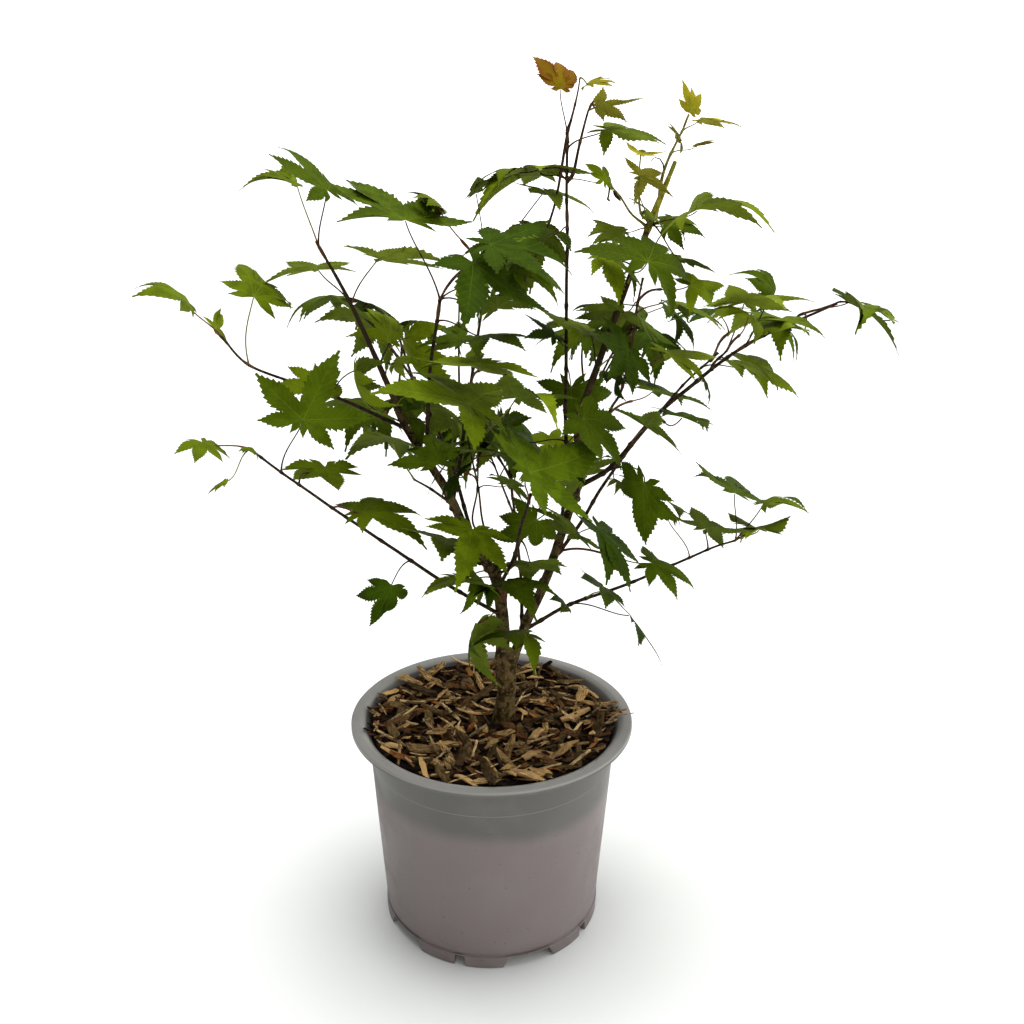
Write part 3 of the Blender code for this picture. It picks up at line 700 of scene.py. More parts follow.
# trunk and leaders: joined in one skin with bark relief
trunkForm = {
    "foot": (0.0075, 0.0040, 0.1340), "fork": (0.0102, 0.0016, 0.1925), "radius": 0.0058,
    "flare": 0.0034, "swell": 0.0012, "steps": 36, "sway": 0.0006, "swayTurn": 3, "sides": 16, "rough": 0.10,
    "skin": 0.00046, "smooth": 6,
    "collar": 0.72, "collarOut": 0.5, "knotFlat": 0.8, "forkFlat": 0.45,
    "fissure": 0.00005, "fissureScale": 620, "fissureStretch": 0.28, "fissureLevel": 0.55,
    "lump": 0.00042, "lumpScale": 170, "pore": 0.00014, "poreScale": (300, 300, 900), "poreLevel": 0.15,
    "roughTo": 0.260, "roughOver": 0.075, "roughLeast": 0.16,
}
limbs = {  # host, radii at foot and tip, and the places each limb passes through
    "leader_left": ("trunk", (0.0048, 0.0008), [
        (0.0066, 0.0010, 0.1851), (0.0070, 0.0000, 0.2151), (0.0020, -0.0030, 0.2482), (-0.0140, -0.0050, 0.2734),
        (-0.0280, -0.0060, 0.3066), (-0.0540, 0.0000, 0.3479), (-0.0620, 0.0030, 0.3680), (-0.0860, 0.0130, 0.4210),
        (-0.1060, 0.0200, 0.4570)]),
    "leader_right": ("trunk", (0.0038, 0.0013), [
        (0.0134, 0.0020, 0.1851), (0.0230, 0.0040, 0.2131), (0.0350, 0.0070, 0.2411), (0.0480, 0.0100, 0.2821),
        (0.0550, 0.0100, 0.3071), (0.0540, 0.0060, 0.3491), (0.0610, 0.0050, 0.3731), (0.0900, 0.0100, 0.4581),
        (0.1080, 0.0160, 0.5041)]),
    "bough_low_left": ("leader_left", (0.0014, 0.0007), [
        (0.0060, -0.0010, 0.2202), (-0.0310, -0.0120, 0.2486), (-0.0840, -0.0280, 0.2950), (-0.1160, -0.0420, 0.3240),
        (-0.1380, -0.0520, 0.3470)]),
    "bough_low_right": ("leader_right", (0.0014, 0.0007), [
        (0.0215, 0.0040, 0.2071), (0.0540, 0.0060, 0.2251), (0.1010, 0.0140, 0.2401), (0.1450, 0.0220, 0.2571),
        (0.1640, 0.0260, 0.2621)]),
    "bough_far_left": ("leader_left", (0.0014, 0.0007), [
        (-0.0530, 0.0000, 0.3459), (-0.0940, 0.0160, 0.3610), (-0.1240, 0.0280, 0.3690), (-0.1560, 0.0380, 0.3780),
        (-0.1730, 0.0430, 0.3960)]),
    "bough_upright_left": ("leader_left", (0.0015, 0.0009), [
        (-0.0370, -0.0040, 0.3207), (-0.0390, -0.0110, 0.3407), (-0.0370, -0.0200, 0.3777), (-0.0340, -0.0260, 0.4047),
        (-0.0300, -0.0300, 0.4286)]),
    "bough_inner": ("leader_left", (0.0014, 0.0008), [
        (-0.0250, -0.0060, 0.2995), (-0.0190, 0.0040, 0.3305), (-0.0140, 0.0140, 0.3664), (-0.0080, 0.0230, 0.4073),
        (-0.0030, 0.0280, 0.4333)]),
    "bough_tall": ("leader_right", (0.0014, 0.0008), [
        (0.0535, 0.0100, 0.2991), (0.0480, 0.0190, 0.3311), (0.0470, 0.0220, 0.3751), (0.0460, 0.0220, 0.4451),
        (0.0450, 0.0210, 0.4831), (0.0440, 0.0200, 0.5201)]),
    "bough_right": ("leader_right", (0.0018, 0.0007), [
        (0.0550, 0.0100, 0.3051), (0.0760, 0.0040, 0.3201), (0.0970, -0.0040, 0.3501), (0.1180, -0.0100, 0.3731),
        (0.1510, -0.0180, 0.4021), (0.1980, -0.0280, 0.4271)]),
    "bough_right_thin": ("leader_right", (0.0014, 0.0007), [
        (0.0400, 0.0085, 0.2551), (0.0600, 0.0240, 0.2771), (0.0750, 0.0320, 0.3001), (0.0990, 0.0420, 0.3321),
        (0.1310, 0.0500, 0.3661), (0.1500, 0.0540, 0.3841)]),
    "bough_front": ("leader_left", (0.0014, 0.0008), [
        (0.0040, -0.0020, 0.2392), (0.0120, -0.0260, 0.2671), (0.0160, -0.0480, 0.2951), (0.0210, -0.0720, 0.3261)]),
    "bough_back_left": ("leader_left", (0.0014, 0.0008), [
        (-0.0090, -0.0040, 0.2633), (-0.0280, 0.0400, 0.3156), (-0.0520, 0.0780, 0.3579), (-0.0660, 0.1020, 0.3920)]),
    "bough_back_right": ("leader_right", (0.0014, 0.0008), [
        (0.0420, 0.0085, 0.2631), (0.0560, 0.0540, 0.3111), (0.0700, 0.0840, 0.3511), (0.0800, 0.1060, 0.3851)]),
    "bough_back_low": ("leader_right", (0.0013, 0.0008), [
        (0.0200, 0.0035, 0.2061), (0.0190, 0.0420, 0.2471), (0.0150, 0.0780, 0.2791), (0.0120, 0.0960, 0.3011)]),
}
twigs = {  # side shoots, too fine to be solids of their own
    "tallSideShoot": ("bough_tall", (0.0011, 0.0006), [
        (0.0479, 0.0190, 0.4966), (0.0520, 0.0170, 0.5144), (0.0565, 0.0150, 0.5319), (0.0591, 0.0140, 0.5372)]),
    "tallTipShoot": ("bough_tall", (0.0008, 0.0004), [
        (0.0466, 0.0200, 0.5298), (0.0493, 0.0210, 0.5408), (0.0509, 0.0220, 0.5494)]),
    "bronzeShoot": ("leader_right", (0.0009, 0.0004), [
        (0.0874, 0.0060, 0.4757), (0.0858, 0.0040, 0.4926), (0.0855, 0.0030, 0.5079)]),
    "bronzeSideShoot": ("leader_right", (0.0009, 0.0005), [
        (0.0819, 0.0040, 0.4741), (0.0752, 0.0000, 0.4826), (0.0680, -0.0040, 0.4904)]),
    "rightSideTwig": ("leader_right", (0.0011, 0.0007), [
        (0.0626, 0.0120, 0.3248), (0.0703, 0.0180, 0.3430), (0.0767, 0.0220, 0.3552), (0.0832, 0.0260, 0.3654),
        (0.0890, 0.0300, 0.3922), (0.0914, 0.0320, 0.4153), (0.0945, 0.0330, 0.4349)]),
    "innerThinTwig": ("bough_inner", (0.0009, 0.0005), [
        (-0.0196, 0.0180, 0.3609), (-0.0208, 0.0280, 0.3896), (-0.0206, 0.0340, 0.4200)]),
    "centreShootLeft": ("leader_left", (0.0009, 0.0005), [
        (0.0031, -0.0050, 0.2591), (-0.0052, -0.0100, 0.2855), (-0.0089, -0.0140, 0.3099), (-0.0137, -0.0160, 0.3342),
        (-0.0159, -0.0180, 0.3522)]),
    "centreShootRight": ("leader_left", (0.0008, 0.0005), [
        (-0.0001, -0.0030, 0.2673), (-0.0123, 0.0020, 0.2828), (-0.0096, 0.0040, 0.3043), (-0.0083, 0.0040, 0.3286),
        (-0.0057, 0.0040, 0.3467)]),
    "heartTwig": ("leader_left", (0.0009, 0.0005), [
        (0.0126, -0.0100, 0.2583), (0.0168, -0.0140, 0.2733), (0.0214, -0.0200, 0.2894), (0.0319, -0.0260, 0.3070)]),
    "lowLeftTwig": ("leader_left", (0.0010, 0.0006), [
        (-0.0297, -0.0070, 0.3028), (-0.0387, -0.0100, 0.3104), (-0.0481, -0.0160, 0.3181)]),
    "rightUpperTwig": ("bough_right", (0.0009, 0.0006), [
        (0.1308, -0.0180, 0.3903), (0.1367, -0.0260, 0.3994)]),
    "rightTipTwig": ("bough_right", (0.0008, 0.0005), [
        (0.1771, -0.0280, 0.4201), (0.1885, -0.0310, 0.4245), (0.1974, -0.0340, 0.4288)]),
    "shootTip": ("leader_right", (0.0011, 0.0005), [
        (0.0997, 0.0130, 0.4880), (0.1011, 0.0135, 0.4970), (0.1037, 0.0140, 0.5054), (0.1081, 0.0155, 0.5148),
        (0.1121, 0.0170, 0.5226), (0.1146, 0.0175, 0.5297)]),
}
growth = {
    "spacing": 0.0016, "stray": 0.0011, "strayScale": 26, "fade": 6, "taper": 0.85, "jointDrop": 0.004,
    "jointGap": 0.0015, "nodeSwell": 0.42, "nodeLength": 0.0013, "nodeEvery": 0.031, "nodeApart": 0.012,
    "baseFlare": 0.75, "baseLength": 0.0035, "twigRadii": (0.00095, 0.00055),
}
lines = {}  # every limb and twig: its even points and their radii


def smoothRoute(places, spacing):
    places = [Vector(place) for place in places]
    ends = [2 * places[0] - places[1]] + places + [2 * places[-1] - places[-2]]
    line = []
    for index in range(1, len(ends) - 2):
        before, start, end, after = ends[index - 1:index + 3]
        steps = max(2, round((end - start).length / spacing))
        for step in range(steps):
            t = step / steps
            line.append(0.5 * (2 * start + (end - before) * t + (2 * before - 5 * start + 4 * end - after) * t ** 2
                               + (3 * start - before - 3 * end + after) * t ** 3))
    line.append(places[-1])
    return line


def strayed(line, name):  # a little wander that fades out at both ends
    offset = sum(map(ord, name)) * 0.37
    last = len(line) - 1
    moved = []
    for index, place in enumerate(line):
        fade = min(1, growth["fade"] * index / last, growth["fade"] * (last - index) / last)
        wander = noise.noise_vector(place * growth["strayScale"] + Vector((offset, 0, 0)))
        moved.append(place + wander * growth["stray"] * fade)
    return moved


def nearestOn(name, place):
    line = lines[name]["line"]
    return min(range(len(line)), key=lambda index: (line[index] - place).length)


def growLimb(name, host, radii, route):
    if host in limbs:
        start = Vector(route[0])
        joint = lines[host]["line"][nearestOn(host, start - up * growth["jointDrop"])]
        route = [joint, *(route if (joint - start).length > growth["jointGap"] else route[1:])]
    line = smoothRoute(route, growth["spacing"])
    if host in limbs:
        line = strayed(line, name)
    last = len(line) - 1
    girth = [mixed(radii[0], radii[1], (index / last) ** growth["taper"]) for index in range(last + 1)]
    lines[name] = {"line": line, "girth": girth, "host": host, "nodes": []}


def wayAt(line, index):
    return (line[min(index + 1, len(line) - 1)] - line[max(index - 1, 0)]).normalized()


def along(name, share):
    line = lines[name]["line"]
    index = min(len(line) - 1, max(0, round(share * (len(line) - 1))))
    return line[index], wayAt(line, index), index


def growFrame():
    t = trunkForm
    foot, fork = Vector(t["foot"]), Vector(t["fork"])
    line, girth = [], []
    for step in range(t["steps"] + 1):
        share = step / t["steps"]
        line.append(foot.lerp(fork, share) + Vector((t["sway"] * math.sin(t["swayTurn"] * step / t["steps"]), 0, 0)))
        girth.append(t["radius"] + t["flare"] * (1 - share) ** 4 + t["swell"] * share ** 3)
    lines["trunk"] = {"line": line, "girth": girth, "host": None, "nodes": []}
    for name, (host, radii, route) in {**limbs, **twigs}.items():
        growLimb(name, host, radii, route)


def ringTube(line, girth, sides, rough):  # closed tube of rings, its ends capped
    points, faces = [], []
    across = (line[1] - line[0]).orthogonal().normalized()
    for index, (place, radius) in enumerate(zip(line, girth)):
        way = wayAt(line, index)
        across = (across - way * across.dot(way)).normalized()
        beside = way.cross(across)
        for side in range(sides):
            turn = 2 * math.pi * side / sides
            out = math.cos(turn) * across + math.sin(turn) * beside
            points.append(place + radius * (1 + rough * noise.noise((place + out * radius) * 160)) * out)
    for ring in range(len(line) - 1):
        for side in range(sides):
            low, high = ring * sides + side, ring * sides + (side + 1) % sides
            faces.append((low, high, high + sides, low + sides))
    faces.append(tuple(reversed(range(sides))))
    faces.append(tuple((len(line) - 1) * sides + side for side in range(sides)))
    return points, faces


trunkKnots = [  # old bud scars and knuckles on the stems: limb, share along it, out, radius
    ("leader_left", 0.235, (-0.0010, -0.0030, 0.0), 0.0034), ("leader_left", 0.262, (-0.0034, -0.0005, 0.0), 0.0026),
    ("leader_left", 0.445, (0.0000, -0.0012, 0.0), 0.0026), ("leader_left", 0.540, (0.0014, -0.0008, 0.0), 0.0023),
    ("leader_right", 0.355, (0.0010, -0.0010, 0.0), 0.0031), ("leader_right", 0.180, (-0.0010, -0.0010, 0.0), 0.0035),
    ("leader_right", 0.840, (0.0003, -0.0004, 0.0), 0.0021), ("trunk", 0.42, (0.0036, -0.0028, 0.0), 0.0026),
    ("trunk", 0.97, (0.0, -0.0006, 0.0), 0.0072),
]
leaders = ["leader_left", "leader_right"]
stems = ["trunk", *leaders]


def roughStems():  # three tubes with knots, and a collar where each bough leaves
    t = trunkForm
    points, faces = [], []
    for name in stems:
        tube = ringTube(lines[name]["line"], lines[name]["girth"], t["sides"], t["rough"])
        faces += [tuple(index + len(points) for index in face) for face in tube[1]]
        points += tube[0]
    skin = addObject("stemSkin", points, faces)
    knots = bmesh.new()
    knots.from_mesh(skin.data)
    for name, share, out, radius in trunkKnots:
        flat = Matrix.Diagonal((1, 1, t["forkFlat"] if name == "trunk" else t["knotFlat"], 1))
        seat = Matrix.Translation(along(name, share)[0] + Vector(out))
        bmesh.ops.create_icosphere(knots, subdivisions=3, radius=radius, matrix=seat @ flat)
    for grown in lines.values():
        if grown["host"] in leaders:
            collar = grown["line"][1]
            radius = lines[grown["host"]]["girth"][nearestOn(grown["host"], collar)]
            way = (grown["line"][2] - grown["line"][0]).normalized()
            seat = Matrix.Translation(collar + way * radius * t["collarOut"])
            bmesh.ops.create_icosphere(knots, subdivisions=2, radius=radius * t["collar"], matrix=seat)
    knots.to_mesh(skin.data)
    knots.free()
    return skin


def pressBark(mesh):  # ridges, lumps and pores, strongest low on the trunk
    t = trunkForm
    shape = bmesh.new()
    shape.from_mesh(mesh)
    shape.normal_update()
    moves = []
    for vertex in shape.verts:
        place = vertex.co
        low = max(t["roughLeast"], min(1, (t["roughTo"] - place.z) / t["roughOver"]))
        stretched = Vector((place.x, place.y, place.z * t["fissureStretch"])) * t["fissureScale"]
        ridge = 1 - 2 * abs(noise.noise(stretched)) - 0.5 * abs(noise.noise(stretched * 2.1))
        pores = noise.noise(Vector([spot * scale for spot, scale in zip(place, t["poreScale"])]))
        lumps = noise.noise(place * t["lumpScale"])
        raised = low * (t["fissure"] * (ridge - t["fissureLevel"]) + t["lump"] * lumps)
        pitted = (0.35 + 0.65 * low) * t["pore"] * max(0, pores - t["poreLevel"]) * 2
        moves.append(vertex.normal * (raised + pitted))
    for vertex, move in zip(shape.verts, moves):
        vertex.co += move
    shape.to_mesh(mesh)
    shape.free()


def makeTrunk():
    skin = roughStems()
    remesh = skin.modifiers.new("skin", "REMESH")
    remesh.mode = "VOXEL"
    remesh.voxel_size = trunkForm["skin"]
    remesh.use_smooth_shade = True
    eased = skin.modifiers.new("ease", "SMOOTH")
    eased.iterations = trunkForm["smooth"]
    eased.factor = 0.5
    piece = bakedCopy(skin, "trunkBark")
    pressBark(piece.data)
    piece.data.shade_smooth()
    piece.data.materials.clear()
    piece.data.materials.append(stemBark())
    settle(piece, stems)
    print("  trunkBark", len(piece.data.polygons), "faces")


barkLook = {
    "roughness": 0.8, "gloss": 0.03, "low": ((0.020, 0.0125, 0.003), (0.105, 0.070, 0.026)),
    "high": ((0.017, 0.011, 0.005), (0.088, 0.062, 0.026)), "highFrom": (0.190, 0.222), "highWander": 0.03,
    "moss": (0.036, 0.030, 0.005), "ring": (0.018, 0.012, 0.006), "mark": (0.250, 0.200, 0.125),
    "mossShare": 0.45, "ringShare": 0.7, "markShare": 0.60,
    "slim": (0.026, 0.016, 0.009), "slimFrom": (0.330, 0.400),
    "fresh": (0.150, 0.155, 0.020), "freshFrom": (0.452, 0.474),
    "relief": 0.0006, "reliefStrength": 0.8, "ringDepth": 0.35, "markHeight": 0.4,
}


def stemBark():
    k = barkLook
    material, tree, shader, place = startFinish("oliveBark", k["roughness"], k["gloss"])
    height = addNode(tree, "ShaderNodeSeparateXYZ", {"Vector": place}).outputs[2]
    streak, cloud = grainNoise(tree, place, 260, 5, (1, 1, 0.7)), grainNoise(tree, place, 120, 3)
    rings = grainNoise(tree, place, 170, 3, (0.35, 0.35, 3.2))
    marks = spread(tree, grainNoise(tree, place, 620, 2, (1, 1, 1.6)), 0.62, 0.69)
    low, high = (layOver(tree, *k[zone], streak, 0.38, 0.62) for zone in ("low", "high"))
    base = layOver(tree, low, high, sums(tree, "MULTIPLY_ADD", cloud, k["highWander"], height), *k["highFrom"])
    base = layOver(tree, base, k["moss"], cloud, 0.55, 0.70, k["mossShare"])
    base = layOver(tree, base, k["ring"], rings, 0.60, 0.68, k["ringShare"])
    base = mixColour(tree, sums(tree, "MULTIPLY", marks, k["markShare"]), base, k["mark"])
    base = layOver(tree, base, k["slim"], height, *k["slimFrom"])
    base = layOver(tree, base, k["fresh"], height, *k["freshFrom"])
    tree.links.new(base, shader.inputs["Base Color"])
    pressed = sums(tree, "SUBTRACT", streak, spread(tree, rings, 0.58, 0.66, 0.0, k["ringDepth"]))
    raised = sums(tree, "MULTIPLY_ADD", marks, k["markHeight"], pressed)
    addRelief(tree, shader, raised, k["relief"], k["reliefStrength"])
    return material


# boughs, twigs and leaf stalks: tubes that follow their lines, thick at each node
def tubeTree():
    tree, given = startGroup("wrapStems", (("Sides", "Int"), ("Girth scale", "Float")))
    strands = addNode(tree, "GeometryNodeMeshToCurve", {"Mesh": given["Geometry"]})
    girth = addNode(tree, "GeometryNodeInputNamedAttribute", {"Name": "girth"}, data_type="FLOAT")
    scaled = sums(tree, "MULTIPLY", girth.outputs["Attribute"], given["Girth scale"])
    ring = addNode(tree, "GeometryNodeCurvePrimitiveCircle", {"Resolution": given["Sides"], "Radius": 1.0})
    tube = addNode(tree, "GeometryNodeCurveToMesh", {"Curve": strands.outputs[0], "Profile Curve": ring.outputs[0],
                                                     "Scale": scaled, "Fill Caps": True})
    smooth = addNode(tree, "GeometryNodeSetShadeSmooth", {"Geometry": tube.outputs[0]})
    return endGroup(tree, smooth.outputs[0], given["Finish"])


stemTones = {  # material, its dark and light colour and roughness, slot, sides
    "boughBark": ("darkTwigBark", (0.008, 0.005, 0.0025), (0.034, 0.020, 0.009), 0.6, "twig", 12),
    "fineTwigs": ("fineTwigBark", (0.014, 0.007, 0.004), (0.060, 0.034, 0.016), 0.6, "twig", 8),
    "freshTwigs": ("freshTwigBark", (0.085, 0.072, 0.012), (0.200, 0.175, 0.034), 0.6, "twig", 8),
    "darkStalks": ("darkStalk", (0.016, 0.008, 0.005), (0.044, 0.022, 0.012), 0.6, "twig", 6),
    "redStalks": ("redStalk", (0.050, 0.014, 0.008), (0.120, 0.040, 0.018), 0.6, "twig", 6),
    "greenStalks": ("greenStalk", (0.090, 0.090, 0.010), (0.190, 0.180, 0.026), 0.6, "leaf", 6),
    "swollenShoot": ("freshShootBark", (0.100, 0.092, 0.008), (0.270, 0.250, 0.026), 0.6, "twig", 12),
    "driedTips": ("driedTip", (0.007, 0.004, 0.003), (0.030, 0.016, 0.009), 0.7, "twig", 8),
    "rustNodes": ("rustNodeBark", (0.034, 0.015, 0.006), (0.095, 0.045, 0.018), 0.6, "twig", 12),
}
stemLook = {
    "gloss": 0.04, "patch": 0.5, "pore": (0.20, 0.13, 0.09), "poreShare": 0.5, "relief": 0.0003, "reliefStrength": 0.6,
}


def stemFinish(name, dark, light, roughness):
    k = stemLook
    material, tree, shader, place = startFinish(name, roughness, k["gloss"])
    streak = grainNoise(tree, place, 520, 3, (1, 1, 0.5))
    base = layOver(tree, dark, light, streak, 0.35, 0.65)
    base = layOver(tree, base, light, grainNoise(tree, place, 60, 2), 0.5, 0.7, k["patch"])
    base = layOver(tree, base, k["pore"], grainNoise(tree, place, 1300, 1), 0.66, 0.72, k["poreShare"])
    tree.links.new(base, shader.inputs["Base Color"])
    addRelief(tree, shader, streak, k["relief"], k["reliefStrength"])
    return material


stemTree = tubeTree()


def wrapStems(name, strands, replaced=()):
    points, edges, girths = [], [], []
    for line, girth in strands:
        edges += [(len(points) + index, len(points) + index + 1) for index in range(len(line) - 1)]
        points += line
        girths += girth
    carrier = addObject(name + "Lines", points, [], edges)
    carrier.data.attributes.new("girth", "FLOAT", "POINT").data.foreach_set("value", girths)
    *tone, slot, sides = stemTones[name]
    piece = runGroup(carrier, stemTree, {"Sides": sides, "Girth scale": 1.0, "Finish": stemFinish(*tone)}, name)
    settle(piece, replaced)


def nodeGirths(name):  # radii with a swelling at each node and a flare at the foot
    g = growth
    grown = lines[name]
    line, girth = grown["line"], list(grown["girth"])
    run = [0.0]
    for low, high in zip(line, line[1:]):
        run.append(run[-1] + (high - low).length)
    spots = [run[index] for index in grown["nodes"]]
    dice = random.Random("nodes" + name)
    spot = dice.uniform(0.5, 1.0) * g["nodeEvery"]
    while spot < run[-1]:
        if all(abs(spot - other) > g["nodeApart"] for other in spots):
            spots.append(spot)
        spot += g["nodeEvery"] * dice.uniform(0.75, 1.25)
    spots.append(run[-1])
    for index, place in enumerate(run):
        bulge = max(math.exp(-((place - spot) / g["nodeLength"]) ** 2) for spot in spots)
        girth[index] *= 1 + g["nodeSwell"] * bulge + g["baseFlare"] * math.exp(-place / g["baseLength"])
    return girth


# leaves: seven-lobed blades with toothed margins, each hung from its own stalk
bladeForm = {
    "lobeTurns": (-138, -96, -50, 0, 50, 96, 138), "lobeLengths": (0.30, 0.68, 0.92, 1.0, 0.92, 0.68, 0.30),
    "teeth": (3, 7, 9, 10, 9, 7, 3), "sinuses": (0.06, 0.17, 0.26, 0.33, 0.33, 0.26, 0.17, 0.06), "outerSinus": 0.36,
    "sinusStray": (0.86, 1.14), "sinusLimit": 0.8, "innerRows": 3, "columns": (-1.0, -0.55, 0.0, 0.55, 1.0),
    "halfWidths": ((0.0, 0.060), (0.22, 0.100), (0.35, 0.160), (0.48, 0.188), (0.60, 0.174), (0.72, 0.128),
                   (0.84, 0.066), (0.93, 0.026), (1.0, 0.0)),
    "middleOut": 1.12, "innerBow": 1.5, "ease": 0.94, "joinReach": 0.30, "thickness": 0.00016,
    "toothHeight": 0.033, "toothPeak": 0.80, "toothLean": 0.016, "toothStray": (0.6, 1.3), "notchShare": 0.42,
    "toothGrow": 5, "toothLeast": 0.45, "fullTeeth": 6,
    "fold": 0.20, "foldStray": (0.5, 1.4), "tipCurl": 0.55, "curlFrom": 0.72, "curlLeast": 0.6,
    "bow": 0.06, "bowOut": 0.03, "bowFrom": 0.3, "wave": 0.020, "waveScale": 2.6, "waveFrom": 0.3,
}
# The tints shade, deep, mid, bright, light and airy are darker and lighter steps of one green, picked leaf by leaf to
# match how bright each leaf looks. They paint the shade or light that falls on the leaf as well as its own tone.
# youngLit and turningLit are lit copies of young and turning: painted light
leafTints = {  # colour at the hub, towards the tips and along the veins
    "shade": ((0.018, 0.036, 0.0008), (0.016, 0.032, 0.0007), (0.050, 0.082, 0.0060)),
    "deep": ((0.029, 0.055, 0.0011), (0.026, 0.048, 0.0009), (0.070, 0.112, 0.0080)),
    "mid": ((0.056, 0.088, 0.0015), (0.049, 0.078, 0.0012), (0.112, 0.158, 0.0110)),
    "bright": ((0.095, 0.134, 0.0022), (0.086, 0.122, 0.0019), (0.160, 0.208, 0.0150)),
    "light": ((0.150, 0.200, 0.0040), (0.138, 0.186, 0.0034), (0.225, 0.275, 0.0240)),
    "airy": ((0.165, 0.218, 0.0045), (0.152, 0.202, 0.0038), (0.240, 0.290, 0.0260)),
    "dried": ((0.150, 0.100, 0.045), (0.090, 0.050, 0.018), (0.220, 0.165, 0.090)),
    "young": ((0.205, 0.205, 0.0070), (0.225, 0.190, 0.0080), (0.290, 0.280, 0.0260)),
    "turning": ((0.190, 0.188, 0.0050), (0.190, 0.118, 0.0070), (0.270, 0.240, 0.0200)),
    "youngLit": ((0.350, 0.350, 0.0120), (0.370, 0.325, 0.0140), (0.430, 0.420, 0.0400)),
    "turningLit": ((0.340, 0.330, 0.0160), (0.320, 0.220, 0.0240), (0.400, 0.350, 0.0500)),
    "pale": ((0.360, 0.335, 0.0700), (0.320, 0.250, 0.0520), (0.430, 0.390, 0.1200)),
    "bronze": ((0.185, 0.168, 0.0030), (0.195, 0.098, 0.0040), (0.240, 0.185, 0.0120)),
}
marginTint = ((0.185, 0.074, 0.006), (0.185, 0.074, 0.006), (0.220, 0.070, 0.015))
underVein = (0.150, 0.185, 0.030)
# lit and fair are brighter copies of the underside colour: painted light for the leaves with lit and airy tints
underTints = {"grown": (0.085, 0.118, 0.010), "young": (0.205, 0.192, 0.020), "lit": (0.360, 0.330, 0.034),
              "fair": (0.200, 0.256, 0.020)}
underAges = {"young": "young", "turning": "young", "bronze": "young", "youngLit": "lit", "turningLit": "lit",
             "pale": "lit", "airy": "fair"}


def sheetRows():  # each lobe's rows of corners: the inner ones, then the peak and notch of each tooth
    b = bladeForm
    lobes = []
    for teeth in b["teeth"]:
        rows = [("inner", row / b["innerRows"]) for row in range(1, b["innerRows"] + 1)]
        for tooth in range(teeth):
            rows.append(("peak", (tooth + b["toothPeak"]) / teeth))
            if tooth < teeth - 1:
                rows.append(("notch", (tooth + 1) / teeth))
        lobes.append(rows)
    return lobes


bladeRows = sheetRows()


